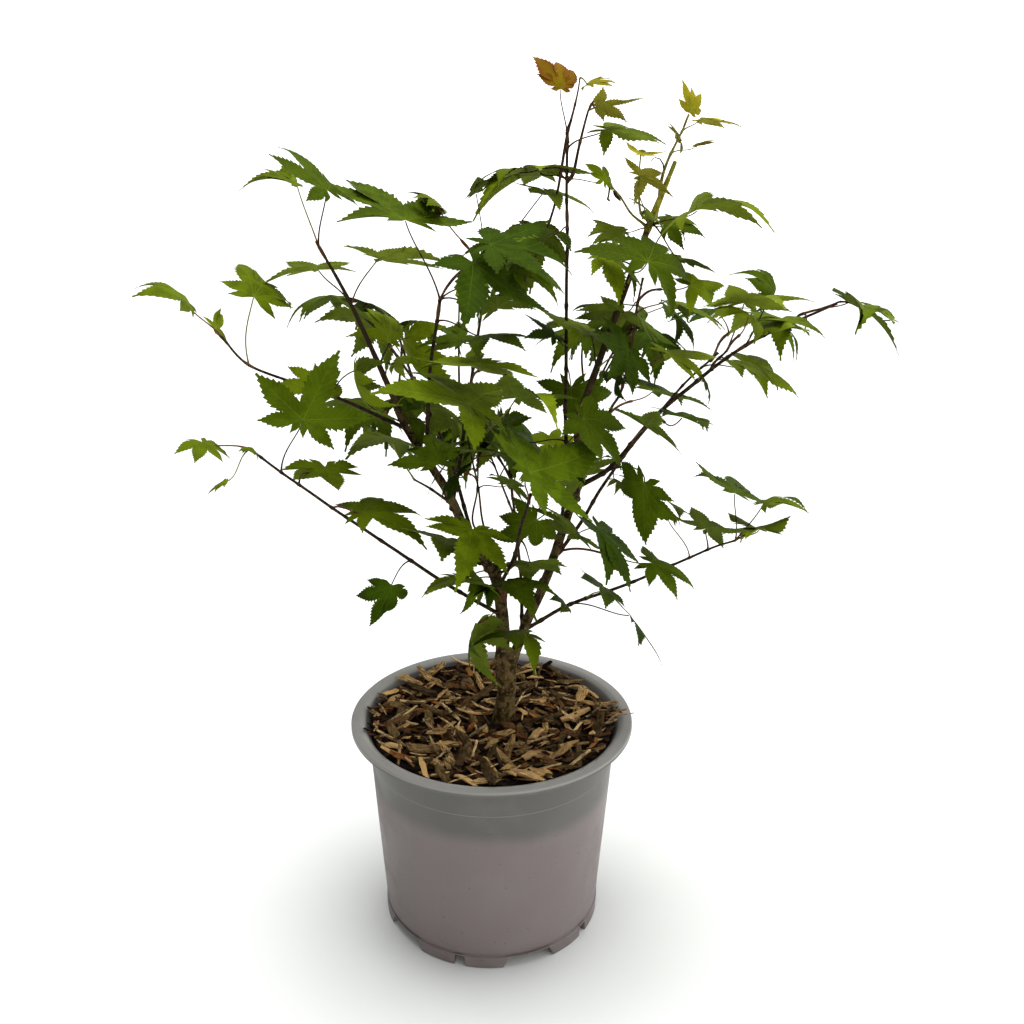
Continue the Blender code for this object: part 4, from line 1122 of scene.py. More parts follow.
def shapeBlade(leaf, dice, build):
    b = bladeForm
    size, hub = leaf["size"], leaf["hub"]
    right, ahead, out = leaf["axes"]
    turns = [math.radians(turn) for turn in leaf["turns"]]
    lengths = [size * length * reach / 100 for length, reach in zip(b["lobeLengths"], leaf["reaches"])]
    droops = [droop / 100 for droop in leaf["droops"]]
    bows = [dice.uniform(-1, 1) * b["bow"] + b["bowOut"] * (lobe - 3) for lobe in range(7)]
    between = [(low + high) / 2 for low, high in zip(turns, turns[1:])]
    sinusTurns = [turns[0] - b["outerSinus"], *between, turns[-1] + b["outerSinus"]]
    sinusReach = [size * reach * leaf["web"] * dice.uniform(*b["sinusStray"]) for reach in b["sinuses"]]
    fold = b["fold"] * dice.uniform(*b["foldStray"])
    seed = Vector((dice.uniform(-50, 50), dice.uniform(-50, 50), 0))
    spots = {}

    def bend(x, y, turn, aside, lower):  # from the flat blade to its place in the air
        reach = math.hypot(x, y)
        spot = min(5, max(0, next((i for i in range(6) if turn < turns[i + 1]), 5)))
        share = min(1, max(0, (turn - turns[spot]) / (turns[spot + 1] - turns[spot])))
        droop = mixed(droops[spot], droops[spot + 1], share * share * (3 - 2 * share))
        way = math.atan2(x, y)
        swing = droop * reach / size
        flat, drop = reach, 0
        if abs(swing) > 0.001:
            flat, drop = math.sin(swing) * size / droop, -(1 - math.cos(swing)) * size / droop
        far = max(0, reach / size - b["curlFrom"])
        drop -= b["tipCurl"] * far * far * size * (b["curlLeast"] + droop)
        drop += fold * aside
        ripple = noise.noise(seed + Vector((x, y, 0)) * (b["waveScale"] / size))
        drop += b["wave"] * size * ripple * min(1, reach / (b["waveFrom"] * size))
        if lower:
            drop -= b["thickness"]
        return hub + right * (flat * math.sin(way)) + ahead * (flat * math.cos(way)) + out * drop

    def spotFor(key, *place):
        if key not in spots:
            spots[key] = len(build["points"])
            build["points"].append(bend(*place))
            build["shade"].append(leaf["shade"])
        return spots[key]

    def marginAt(side, middle, kind, share, column, teeth):  # place along the lobe and distance aside, in lobe lengths
        start = side["along"]
        eased = share ** b["ease"]
        place = mixed(mixed(middle, start, abs(column)), 1.0, eased)
        edge = mixed(start, 1.0, eased)
        width = stepRead(b["halfWidths"], edge) * leaf["widen"]
        join = max(0, 1 - (edge - start) / b["joinReach"])
        width += (side["aside"] - stepRead(b["halfWidths"], start) * leaf["widen"]) * join * join
        if abs(column) == 1:
            strength = (min(1, share * b["toothGrow"]) * (b["toothLeast"] + (1 - b["toothLeast"]) * (1 - share))
                        * min(1, teeth / b["fullTeeth"]))
            if kind == "peak":
                width += b["toothHeight"] * strength * dice.uniform(*b["toothStray"])
                place += b["toothLean"] * strength
            else:
                width -= b["toothHeight"] * b["notchShare"] * strength
        return min(place, 1.0), max(0, width) * abs(column)

    for lobe, rows in enumerate(bladeRows):
        turn, length, teeth = turns[lobe], lengths[lobe], b["teeth"][lobe]
        axis, across = (math.sin(turn), math.cos(turn)), (math.cos(turn), -math.sin(turn))
        sides = []
        for sinus in (lobe, lobe + 1):
            gap, reach = abs(sinusTurns[sinus] - turn), min(sinusReach[sinus], b["sinusLimit"] * length)
            sides.append({"sinus": sinus, "gap": gap, "reach": reach, "along": reach * math.cos(gap) / length,
                          "aside": reach * math.sin(gap) / length})
        middle = 0.5 * (sides[0]["along"] + sides[1]["along"]) * b["middleOut"]
        layers = []
        for lower in (False, True):
            grid = []
            for row, (kind, share) in enumerate(rows):
                line = []
                for column in b["columns"]:
                    side, sign = (sides[0], -1) if column < 0 else (sides[1], 1)
                    onEdge = abs(column) == 1
                    if kind == "inner":
                        place = mixed(middle * share, side["along"] * share, abs(column) ** b["innerBow"])
                        aside = side["aside"] * share * abs(column)
                    else:
                        place, aside = marginAt(side, middle, kind, share, column, teeth)
                    if kind == "inner" and onEdge:  # shared with the next lobe
                        sinus, reach = side["sinus"], side["reach"] * share
                        around, aside = sinusTurns[sinus], reach * math.sin(side["gap"])
                        below = lower and sinus not in (0, 7) and row < b["innerRows"] - 1
                        spot = spotFor(("ray", sinus, row, below), reach * math.sin(around), reach * math.cos(around),
                                       around, aside, below)
                    else:
                        x = length * (axis[0] * place + across[0] * aside * sign)
                        y = length * (axis[1] * place + across[1] * aside * sign)
                        curve = bows[lobe] * length * max(0, place - b["bowFrom"]) ** 2
                        around = turn + sign * math.atan2(aside, max(place, 0.02)) if aside else turn
                        below = lower and not onEdge
                        spot = spotFor((lobe, row, column, below), x + across[0] * curve, y + across[1] * curve,
                                       around, aside * length, below)
                    line.append((spot, (place, 0.5 + sign * aside)))
                grid.append(line)
            layers.append(grid)
        curve = bows[lobe] * length * (1 - b["bowFrom"]) ** 2
        tip = spotFor(("tip", lobe), length * axis[0] + across[0] * curve, length * axis[1] + across[1] * curve,
                      turn, 0, False)
        coverLobe(layers, spotFor(("hub",), 0, 0, 0, 0, False), tip, leaf["tint"], build)


def coverLobe(layers, hubSpot, tipSpot, tint, build):  # faces of the upper and lower sheet
    under, top = build["under"][tint], build["top"][tint]
    for lower, grid in zip((False, True), layers):
        quads = []
        for column in range(len(bladeForm["columns"]) - 1):
            strip = [((hubSpot, (0, 0.5)), grid[0][column + 1], grid[0][column])]
            for near, far in zip(grid, grid[1:]):
                strip.append((near[column], near[column + 1], far[column + 1], far[column]))
            strip.append((grid[-1][column], grid[-1][column + 1], (tipSpot, (1, 0.5))))
            outer = column in (0, len(bladeForm["columns"]) - 2)
            for number, quad in enumerate(strip):
                reddened = tint == "bronze" and outer and number > 2
                quads.append((quad, build["top"]["margin"] if reddened else top))
        for quad, mark in quads:
            quad = quad[::-1] if lower else quad
            build["faces"].append(tuple(spot for spot, _ in quad))
            build["uvs"] += [uv for _, uv in quad]
            build["marks"].append(under if lower else mark)


leafLook = {
    "roughness": 0.66, "topGloss": 0.018, "underGloss": 0.01, "ribWidth": (0.0105, -0.0075), "veinSlant": -1.25,
    "veins": 10.0, "veinSharpness": -9.0, "veinFrom": (0.12, 0.22), "sideVein": 0.34, "veinShare": 0.62,
    "tipFrom": (0.25, 0.85), "rimward": 1.8, "blotchScale": 95, "blotch": (0.60, 0.38), "blotchShare": 0.62,
    "blotchTone": 0.5, "shadeShare": 0.66, "shadeTone": 0.62, "puff": 0.9, "relief": 0.00035, "reliefStrength": 0.7,
}


def leafFinish(name, hubColour, tipColour, veinColour, under=False):
    k = leafLook
    material, tree, shader, place = startFinish(name, k["roughness"], k["underGloss"] if under else k["topGloss"])
    flat = addNode(tree, "ShaderNodeUVMap", uv_map="leafUV").outputs[0]
    outward, across = addNode(tree, "ShaderNodeSeparateXYZ", {"Vector": flat}).outputs[:2]
    aside = sums(tree, "ABSOLUTE", sums(tree, "SUBTRACT", across, 0.5))
    ribWidth = sums(tree, "MULTIPLY_ADD", outward, k["ribWidth"][1], k["ribWidth"][0])
    rib = sums(tree, "SUBTRACT", 1.0, sums(tree, "DIVIDE", aside, ribWidth), clamp=True)
    slant = sums(tree, "MULTIPLY", sums(tree, "MULTIPLY_ADD", aside, k["veinSlant"], outward), k["veins"])
    fromVein = sums(tree, "ABSOLUTE", sums(tree, "SUBTRACT", sums(tree, "FRACT", slant), 0.5))
    side = sums(tree, "MULTIPLY_ADD", fromVein, k["veinSharpness"], 1.0, clamp=True)
    side = sums(tree, "MULTIPLY", side, spread(tree, outward, *k["veinFrom"]))
    veins = sums(tree, "MAXIMUM", rib, sums(tree, "MULTIPLY", side, k["sideVein"]))
    shade = addNode(tree, "ShaderNodeAttribute", attribute_name="shade").outputs["Fac"]
    blotch = grainNoise(tree, place, k["blotchScale"], 3)
    rimward = sums(tree, "MULTIPLY_ADD", aside, k["rimward"], outward)
    base = layOver(tree, hubColour, tipColour, rimward, *k["tipFrom"])
    blotched, shaded = (tuple(channel * k[tone] for channel in tipColour) for tone in ("blotchTone", "shadeTone"))
    base = layOver(tree, base, blotched, blotch, *k["blotch"], k["blotchShare"])
    base = mixColour(tree, spread(tree, shade, 0.0, 1.0, k["shadeShare"], 0.0), base, shaded)
    base = mixColour(tree, sums(tree, "MULTIPLY", veins, k["veinShare"]), base, veinColour)
    tree.links.new(base, shader.inputs["Base Color"])
    raised = sums(tree, "MULTIPLY", veins, 1.0 if under else -1.0)
    raised = sums(tree, "MULTIPLY_ADD", blotch, k["puff"], raised)
    addRelief(tree, shader, raised, k["relief"], k["reliefStrength"])
    return material


leafPieces = {  # each piece and the masses it stands for
    "foliageFarLeft": ("leaves_far_left", "leaves_left_upper", "leaves_left_heart"),
    "foliageLowLeft": ("leaves_low_left_tip", "leaves_left_front", "leaves_left_low", "leaves_left_hanging"),
    "foliageTopLeft": ("leaves_top_left", "leaves_left_middle", "leaves_left_inner"),
    "foliageUpper": ("leaves_upper_left", "leaves_upper_front", "leaves_middle_front", "leaves_upper_back",
                     "leaves_inner_heart"),
    "foliageCrown": ("leaves_crown_tip", "leaves_crown_side", "leaves_crown_middle"),
    "foliageShoot": ("leaves_shoot_tip", "leaves_shoot_bronze", "leaves_right_upper", "leaves_right_shoulder"),
    "foliageRight": ("leaves_right_outer", "leaves_right_tip", "leaves_right_back", "leaves_right_heart",
                     "leaves_right_front"),
    "foliageLowRight": ("leaves_low_right_tip", "leaves_low_right", "leaves_low_right_hanging"),
    "foliageFront": ("leaves_front", "leaves_low_front", "leaves_low_middle", "leaves_foot"),
    "foliageBack": ("leaves_back_left", "leaves_back_right", "leaves_back", "leaves_back_side"),
}
# leaves placed one by one, by mass: limb, share along it, hub, turn, lift, tilt, length, width and tint, then the
# droop of the seven lobes in hundredths, their turns in degrees and their reaches in hundredths. A fitting program
# outside this script worked the values out, so they follow from no sizes here
leafRows = {
    "leaves_far_left": [
        ("bough_far_left", 1.00, (-0.1944, 0.0520, 0.4159), 271, 53, 6, 0.0431, 1.03, "bright",
         (115, 50, 90, 155, 100, 95, 115), (-134, -94, -54, -1, 43, 93, 126), (100, 80, 105, 95, 90, 95, 100)),
        ("bough_far_left", 0.97, (-0.1790, 0.0519, 0.3996), 170, 10, 64, 0.0169, 0.98, "light",
         (15, 40, -50, -5, 30, -20, -5), (-130, -98, -30, -11, 55, 84, 124), (100, 95, 110, 115, 95, 110, 90)),
    ],
    "leaves_left_upper": [
        ("bough_far_left", 0.82, (-0.1425, 0.0057, 0.4253), 165, 33, 32, 0.0484, 0.92, "bright",
         (100, 120, 80, 135, 140, 100, 115), (-104, -73, -27, 2, 39, 58, 104), (105, 75, 100, 110, 90, 85, 125)),
    ],
    "leaves_left_heart": [
        ("bough_far_left", 0.39, (-0.1071, 0.0038, 0.3763), 298, -79, -82, 0.0341, 0.89, "light",
         (130, 175, 140, 135, 160, 170, 120), (-157, -105, -63, -2, 61, 102, 165), (100, 95, 100, 90, 110, 90, 100)),
        ("bough_far_left", 0.38, (-0.0808, -0.0262, 0.3861), 263, -90, -16, 0.0421, 0.99, "light",
         (140, 180, 175, 145, 170, 200, 160), (-131, -84, -46, -4, 56, 93, 139), (100, 85, 100, 85, 85, 115, 95)),
        ("bough_upright_left", 0.35, (-0.0425, 0.0137, 0.3598), 251, 29, 6, 0.0333, 1.05, "deep",
         (120, 75, 105, 85, 110, 100, 95), (-112, -81, -54, 5, 41, 79, 112), (100, 100, 100, 85, 90, 100, 95)),
        ("leader_left", 0.64, (-0.0515, -0.0158, 0.3725), 58, 46, 48, 0.0156, 0.99, "mid",
         (170, 205, 165, 105, 165, 180, 150), (-126, -90, -42, 4, 37, 85, 118), (100, 110, 105, 100, 90, 95, 90)),
        ("leader_left", 0.62, (-0.0494, 0.0038, 0.3500), 87, -14, 24, 0.0193, 1.01, "mid",
         (135, 155, 165, 115, 150, 160, 125), (-116, -73, -42, 2, 47, 64, 118), (100, 105, 105, 100, 115, 100, 95)),
    ],
    "leaves_low_left_tip": [
        ("bough_low_left", 1.00, (-0.1629, -0.0597, 0.3535), 55, -18, -14, 0.0317, 0.92, "bright",
         (35, 95, 90, 45, 70, 90, 95), (-125, -83, -42, 4, 47, 82, 118), (100, 105, 65, 65, 80, 100, 95)),
        ("bough_low_left", 1.00, (-0.1486, -0.0663, 0.3332), 293, -21, 6, 0.0135, 1.07, "light",
         (50, 50, 35, 25, 35, 45, 5), (-93, -58, -29, -7, 45, 61, 89), (100, 90, 95, 105, 95, 110, 90)),
        ("bough_low_left", 0.96, (-0.1391, -0.0538, 0.3484), 44, -12, -9, 0.0122, 0.99, "bright",
         (80, 160, 190, 65, 105, 90, 130), (-122, -86, -46, -1, 58, 77, 121), (100, 95, 115, 65, 60, 85, 115)),
    ],
    "leaves_left_front": [
        ("bough_low_left", 0.88, (-0.1048, -0.0658, 0.3675), 138, 55, 37, 0.0389, 0.95, "mid",
         (-10, 0, -5, 0, 15, 15, 15), (-157, -112, -69, 2, 65, 108, 155), (90, 95, 105, 115, 105, 90, 90)),
    ],
    "leaves_left_low": [
        ("bough_low_left", 0.68, (-0.0787, -0.0260, 0.3003), 114, 7, 8, 0.0456, 1.01, "bright",
         (70, 50, 65, 75, 65, 45, 70), (-160, -107, -54, 2, 50, 108, 157), (95, 95, 85, 90, 110, 70, 110)),
        ("bough_low_left", 0.82, (-0.1051, 0.0045, 0.3204), 27, -18, -11, 0.0379, 1.10, "bright",
         (-35, 20, -45, -30, -25, 45, -30), (-123, -94, -54, 8, 52, 90, 132), (100, 95, 70, 95, 110, 110, 105)),
        ("lowLeftTwig", 1.00, (-0.0600, -0.0260, 0.3474), 174, -25, 13, 0.0480, 0.96, "shade",
         (50, 110, 50, 35, 20, 85, 100), (-97, -66, -41, 2, 41, 73, 106), (105, 90, 115, 85, 100, 90, 100)),
    ],
    "leaves_left_hanging": [
        ("bough_low_left", 0.39, (-0.0610, -0.0464, 0.2608), 312, -58, -62, 0.0316, 0.95, "deep",
         (185, 210, 170, 75, 150, 215, 195), (-101, -75, -25, -2, 42, 77, 91), (105, 100, 95, 100, 95, 80, 95)),
    ],
    "leaves_top_left": [
        ("leader_left", 0.99, (-0.1176, 0.0361, 0.4881), 259, 36, 0, 0.0372, 0.97, "bright",
         (-20, 55, 120, 65, 75, -5, 30), (-87, -51, -33, 0, 27, 41, 79), (105, 90, 105, 70, 80, 110, 110)),
        ("leader_left", 0.99, (-0.0961, 0.0083, 0.4866), 237, 45, 2, 0.0403, 1.02, "mid",
         (40, 35, -10, 30, 90, 60, 20), (-137, -104, -48, 2, 57, 102, 133), (95, 85, 105, 110, 100, 110, 90)),
    ],
    "leaves_left_middle": [
        ("leader_left", 0.86, (-0.1085, 0.0403, 0.4382), 340, 10, 9, 0.0407, 1.05, "airy",
         (-10, 50, 5, -15, 45, 15, 15), (-137, -95, -58, 3, 46, 92, 136), (105, 95, 100, 90, 110, 90, 100)),
        ("leader_left", 0.73, (-0.0637, 0.0200, 0.3959), 207, 55, 23, 0.0382, 0.85, "light",
         (60, 150, 105, 85, 75, 45, 95), (-91, -65, -6, 7, 29, 49, 90), (90, 110, 95, 100, 105, 105, 100)),
    ],
    "leaves_left_inner": [
        ("leader_left", 0.86, (-0.0702, 0.0325, 0.4459), 66, 1, -18, 0.0476, 0.97, "airy",
         (-5, -35, -5, 5, -25, 10, -25), (-122, -76, -39, 9, 35, 92, 112), (95, 90, 95, 120, 75, 115, 85)),
        ("leader_left", 0.73, (-0.0621, 0.0321, 0.3819), 136, 3, -43, 0.0179, 1.05, "airy",
         (95, 120, 115, 55, 100, 95, 110), (-130, -83, -45, 1, 47, 91, 131), (95, 90, 105, 110, 95, 90, 100)),
        ("leader_left", 0.73, (-0.0561, 0.0422, 0.3947), 25, -63, 90, 0.0470, 1.07, "light",
         (160, 200, 170, 110, 180, 215, 160), (-125, -88, -38, -14, 39, 91, 130), (100, 105, 95, 110, 90, 95, 100)),
        ("bough_inner", 0.37, (-0.0261, 0.0317, 0.3451), 208, 0, 52, 0.0249, 1.09, "light",
         (110, 120, 75, 85, 125, 150, 70), (-109, -79, -36, 10, 27, 75, 108), (95, 100, 100, 120, 90, 115, 110)),
    ],
    "leaves_upper_left": [
        ("bough_upright_left", 1.00, (-0.0492, -0.0155, 0.4712), 206, 18, 11, 0.0599, 1.05, "mid",
         (-20, 65, -5, -5, -5, -30, 15), (-115, -86, -39, -16, 48, 83, 119), (95, 100, 95, 105, 100, 110, 105)),
        ("bough_inner", 1.00, (-0.0310, 0.0037, 0.4786), 251, 40, 26, 0.0322, 0.90, "bright",
         (130, 95, 130, 110, 20, 85, 90), (-132, -90, -64, 6, 52, 82, 133), (100, 115, 80, 65, 110, 90, 85)),
    ],
    "leaves_upper_front": [
        ("bough_upright_left", 1.00, (-0.0109, -0.0600, 0.4522), 54, -37, 6, 0.0505, 1.02, "deep",
         (5, 15, 70, -30, 35, 0, 35), (-130, -89, -47, -8, 46, 97, 127), (110, 100, 100, 100, 105, 85, 95)),
        ("bough_upright_left", 1.00, (-0.0018, -0.0500, 0.4608), 93, 2, 15, 0.0573, 0.86, "deep",
         (15, 20, -5, 90, 35, 20, 35), (-133, -87, -40, -3, 53, 85, 125), (110, 100, 95, 95, 90, 95, 100)),
        ("bough_upright_left", 1.00, (0.0110, -0.0442, 0.4463), 160, 17, 8, 0.0492, 0.92, "mid",
         (95, 155, 115, 45, 130, 175, 115), (-133, -90, -38, 0, 54, 81, 140), (95, 95, 95, 80, 90, 105, 115)),
        ("bough_upright_left", 1.00, (0.0024, -0.0455, 0.4256), 355, 43, 24, 0.0341, 0.92, "bright",
         (155, 150, 155, 80, 115, 185, 115), (-102, -84, -36, 3, 36, 70, 108), (100, 100, 100, 95, 100, 85, 110)),
        ("bough_inner", 1.00, (-0.0098, 0.0134, 0.4852), 33, 46, 24, 0.0292, 1.09, "mid",
         (35, 45, 90, 85, 20, 55, 15), (-88, -53, -44, 11, 33, 71, 93), (95, 85, 90, 70, 95, 85, 90)),
    ],
    "leaves_middle_front": [
        ("bough_inner", 0.55, (-0.0075, -0.0514, 0.3960), 313, -3, -6, 0.0455, 1.02, "light",
         (-5, 35, -25, -45, 50, -5, -10), (-163, -121, -70, 10, 59, 122, 163), (110, 110, 100, 95, 95, 90, 100)),
        ("centreShootRight", 0.84, (0.0127, -0.0519, 0.3768), 44, 26, -19, 0.0381, 1.06, "light",
         (65, 50, 20, 115, -5, 25, 70), (-127, -93, -44, 0, 49, 89, 126), (105, 100, 100, 110, 110, 100, 110)),
        ("centreShootRight", 0.86, (-0.0139, -0.0621, 0.3754), 231, 34, 14, 0.0596, 1.00, "bright",
         (40, 25, 40, 80, -15, 75, 60), (-167, -138, -66, 7, 74, 120, 166), (105, 105, 110, 85, 100, 100, 110)),
        ("bough_inner", 0.71, (-0.0179, 0.0122, 0.3980), 227, 20, -8, 0.0362, 0.84, "mid",
         (45, 35, 65, 60, 20, 100, 80), (-107, -76, -50, 18, 36, 84, 119), (105, 110, 90, 90, 95, 85, 110)),
        ("bough_upright_left", 0.89, (-0.0056, -0.0375, 0.4099), 37, 7, 3, 0.0359, 0.97, "mid",
         (80, 55, 35, 40, 70, 45, 40), (-131, -98, -33, -2, 46, 87, 126), (110, 125, 95, 100, 95, 105, 105)),
    ],
    "leaves_upper_back": [
        ("bough_inner", 1.00, (0.0318, 0.0267, 0.4869), 34, -13, -5, 0.0358, 0.92, "bright",
         (35, 30, 40, 35, -15, -30, 30), (-144, -103, -55, 16, 51, 107, 148), (95, 100, 110, 85, 105, 95, 100)),
        ("bough_tall", 0.75, (0.0362, 0.0004, 0.4649), 234, -2, 14, 0.0395, 0.93, "bright",
         (80, 100, 75, 75, 25, 70, 85), (-117, -76, -45, 5, 36, 80, 113), (95, 90, 100, 75, 100, 105, 100)),
    ],
    "leaves_inner_heart": [
        ("leader_right", 0.62, (0.0617, 0.0201, 0.4030), 292, 15, -12, 0.0358, 1.00, "bright",
         (5, 0, 50, -30, 5, 10, -10), (-125, -90, -39, 0, 48, 85, 124), (100, 95, 95, 120, 95, 85, 100)),
        ("bough_tall", 0.38, (0.0517, 0.0404, 0.3637), 337, -90, -18, 0.0419, 0.84, "mid",
         (145, 160, 140, 145, 175, 160, 145), (-130, -95, -74, -4, 49, 92, 137), (110, 95, 105, 90, 95, 100, 95)),
        ("centreShootRight", 0.95, (0.0080, 0.0504, 0.3410), 281, -89, -13, 0.0361, 1.05, "mid",
         (110, 90, 80, 125, 115, 85, 85), (-134, -99, -46, 11, 53, 91, 134), (105, 110, 80, 95, 95, 90, 90)),
        ("bough_tall", 0.13, (0.0429, 0.0691, 0.3169), 173, 46, -7, 0.0240, 1.08, "light",
         (85, 75, 60, 95, 90, 75, 80), (-150, -111, -55, 6, 59, 105, 151), (110, 105, 115, 85, 95, 110, 105)),
        ("centreShootRight", 0.98, (0.0026, 0.0111, 0.3430), 224, -11, -25, 0.0354, 1.02, "deep",
         (50, 40, 70, 45, 75, 65, 55), (-140, -97, -55, 13, 50, 100, 131), (85, 105, 100, 80, 105, 105, 95)),
        ("leader_right", 0.48, (0.0429, -0.0142, 0.3384), 90, 27, -24, 0.0325, 0.90, "deep",
         (120, 135, 120, 70, 135, 145, 115), (-123, -82, -49, 5, 44, 85, 128), (100, 90, 85, 95, 85, 100, 100)),
        ("leader_right", 0.41, (0.0587, -0.0068, 0.3173), 319, 36, 57, 0.0411, 0.99, "deep",
         (105, 110, 120, 110, 60, 85, 105), (-113, -86, -45, -1, 39, 85, 118), (105, 95, 95, 110, 95, 95, 95)),
        ("bough_tall", 0.46, (0.0383, 0.0129, 0.4010), 203, 31, 26, 0.0339, 0.99, "deep",
         (65, 85, 25, 80, 100, 100, 60), (-146, -99, -41, -1, 43, 81, 137), (115, 105, 75, 80, 90, 95, 90)),
        ("bough_tall", 0.17, (0.0205, 0.0171, 0.3345), 127, -34, 18, 0.0432, 0.89, "deep",
         (15, 55, -20, 30, 15, 50, 0), (-123, -83, -48, -9, 44, 89, 114), (135, 85, 85, 95, 85, 95, 110)),
        ("rightSideTwig", 0.48, (0.0735, 0.0203, 0.3779), 88, -11, -9, 0.0294, 1.00, "deep",
         (120, 135, 140, 130, 85, 105, 135), (-142, -97, -49, -2, 44, 95, 137), (100, 95, 70, 75, 80, 100, 85)),
    ],
    "leaves_crown_tip": [
        ("bough_tall", 0.99, (0.0395, 0.0181, 0.5429), 179, 67, 24, 0.0240, 1.24, "bronze",
         (60, 70, 40, 75, 65, 50, 55), (-97, -59, -36, 6, 35, 49, 85), (90, 100, 115, 100, 100, 90, 100)),
        ("tallTipShoot", 1.00, (0.0570, 0.0262, 0.5460), 125, 34, 1, 0.0210, 0.89, "young",
         (90, 120, 50, 95, 100, 85, 85), (-110, -75, -27, 0, 45, 70, 109), (110, 100, 100, 85, 90, 110, 100)),
    ],
    "leaves_crown_side": [
        ("tallSideShoot", 0.89, (0.0607, 0.0220, 0.5339), 90, 7, -13, 0.0305, 0.83, "turningLit",
         (25, 65, 35, -10, 35, -35, 0), (-117, -70, -47, 3, 39, 83, 114), (95, 95, 105, 95, 90, 120, 105)),
        ("bough_tall", 0.96, (0.0678, 0.0301, 0.5218), 79, -3, 17, 0.0418, 0.81, "bright",
         (25, 40, 60, 40, -10, 95, 35), (-134, -83, -55, -2, 36, 83, 139), (105, 100, 90, 95, 110, 95, 115)),
        ("tallSideShoot", 0.00, (0.0652, 0.0101, 0.4926), 150, 47, 57, 0.0176, 1.09, "light",
         (95, 140, 105, 85, 125, 100, 105), (-137, -82, -53, -1, 47, 79, 131), (120, 90, 110, 90, 90, 90, 90)),
    ],
    "leaves_crown_middle": [
        ("tallSideShoot", 0.00, (0.0290, 0.0322, 0.4970), 302, 8, 11, 0.0576, 0.97, "airy",
         (100, 40, 40, 90, 85, 15, 75), (-159, -116, -53, -12, 69, 104, 155), (110, 100, 100, 100, 105, 80, 110)),
        ("bough_tall", 0.90, (0.0131, 0.0172, 0.4981), 289, 7, 14, 0.0364, 0.81, "bright",
         (100, 85, 105, 120, 130, 80, 95), (-145, -88, -51, -9, 50, 80, 124), (100, 90, 100, 90, 75, 85, 115)),
    ],
    "leaves_shoot_tip": [
        ("shootTip", 0.79, (0.1152, 0.0179, 0.5306), 130, 67, 82, 0.0201, 0.97, "young",
         (60, 25, 35, 70, 50, 70, 30), (-84, -69, -32, -4, 25, 56, 84), (105, 85, 105, 85, 100, 95, 100)),
        ("shootTip", 0.79, (0.1186, 0.0120, 0.5259), 53, 9, -6, 0.0290, 1.00, "youngLit",
         (50, 25, 45, 65, 45, 60, 35), (-98, -70, -31, -2, 31, 65, 108), (105, 115, 105, 80, 95, 95, 80)),
        ("shootTip", 0.69, (0.1123, 0.0259, 0.5155), 205, 39, 55, 0.0167, 0.99, "youngLit",
         (25, 55, 55, 20, -5, 45, 50), (-126, -82, -43, 3, 34, 85, 126), (100, 100, 100, 95, 100, 100, 105)),
        ("shootTip", 0.49, (0.1169, 0.0080, 0.5120), 101, 27, 5, 0.0137, 0.88, "turningLit",
         (80, 40, 45, 35, 15, 30, 35), (-83, -66, -36, 13, 45, 55, 86), (110, 105, 90, 100, 105, 90, 105)),
    ],
    "leaves_shoot_bronze": [
        ("bronzeShoot", 0.04, (0.0838, -0.0097, 0.4958), 55, -8, -31, 0.0286, 0.79, "pale",
         (25, 115, 20, 75, 25, 5, 65), (-139, -108, -39, -1, 37, 97, 146), (90, 115, 90, 85, 100, 105, 90)),
        ("bronzeShoot", 0.72, (0.0850, -0.0011, 0.5072), 131, 11, 13, 0.0174, 0.82, "youngLit",
         (0, -50, 10, 10, -30, -45, -15), (-119, -77, -36, 10, 37, 70, 117), (80, 135, 85, 85, 100, 90, 95)),
        ("bronzeSideShoot", 0.00, (0.0795, 0.0098, 0.4642), 252, 7, 23, 0.0257, 1.01, "airy",
         (60, 55, -10, 70, 50, 100, 45), (-98, -70, -24, -6, 30, 59, 95), (100, 100, 95, 95, 110, 110, 90)),
    ],
    "leaves_right_upper": [
        ("leader_right", 0.87, (0.1191, -0.0001, 0.4770), 3, 20, 18, 0.0554, 0.89, "airy",
         (160, 140, 115, 10, 110, 130, 135), (-110, -93, -32, 14, 36, 88, 118), (100, 115, 110, 95, 80, 110, 100)),
        ("bronzeSideShoot", 0.00, (0.1033, 0.0197, 0.4675), 95, 29, 29, 0.0333, 1.10, "mid",
         (130, 150, 180, 160, 125, 145, 140), (-109, -63, -42, 7, 36, 80, 111), (105, 100, 115, 90, 90, 95, 105)),
        ("leader_right", 0.92, (0.0986, 0.0131, 0.4709), 292, 45, -18, 0.0314, 0.91, "bright",
         (40, 45, 55, 75, 55, 75, 80), (-103, -82, -53, -3, 42, 81, 126), (100, 90, 100, 70, 85, 100, 110)),
    ],
    "leaves_right_shoulder": [
        ("leader_right", 0.77, (0.0851, -0.0442, 0.4514), 157, 32, 31, 0.0529, 0.99, "mid",
         (110, 70, 140, 105, 110, 160, 105), (-143, -98, -55, 2, 53, 111, 141), (110, 115, 90, 90, 95, 100, 100)),
        ("leader_right", 0.80, (0.0637, -0.0099, 0.4515), 65, -16, 5, 0.0407, 0.96, "light",
         (130, 100, 140, 100, 80, 125, 115), (-119, -79, -43, -4, 44, 79, 114), (95, 90, 105, 80, 105, 80, 95)),
        ("rightSideTwig", 0.87, (0.0785, 0.0060, 0.4176), 232, -19, 32, 0.0322, 1.03, "light",
         (20, 5, 25, -15, 25, 25, 20), (-123, -87, -42, -5, 42, 89, 127), (100, 100, 95, 105, 95, 100, 100)),
        ("rightSideTwig", 0.89, (0.1123, -0.0246, 0.4363), 103, 9, 51, 0.0335, 1.02, "light",
         (185, 205, 220, 85, 195, 215, 190), (-121, -75, -32, -2, 25, 95, 110), (105, 90, 100, 85, 90, 75, 100)),
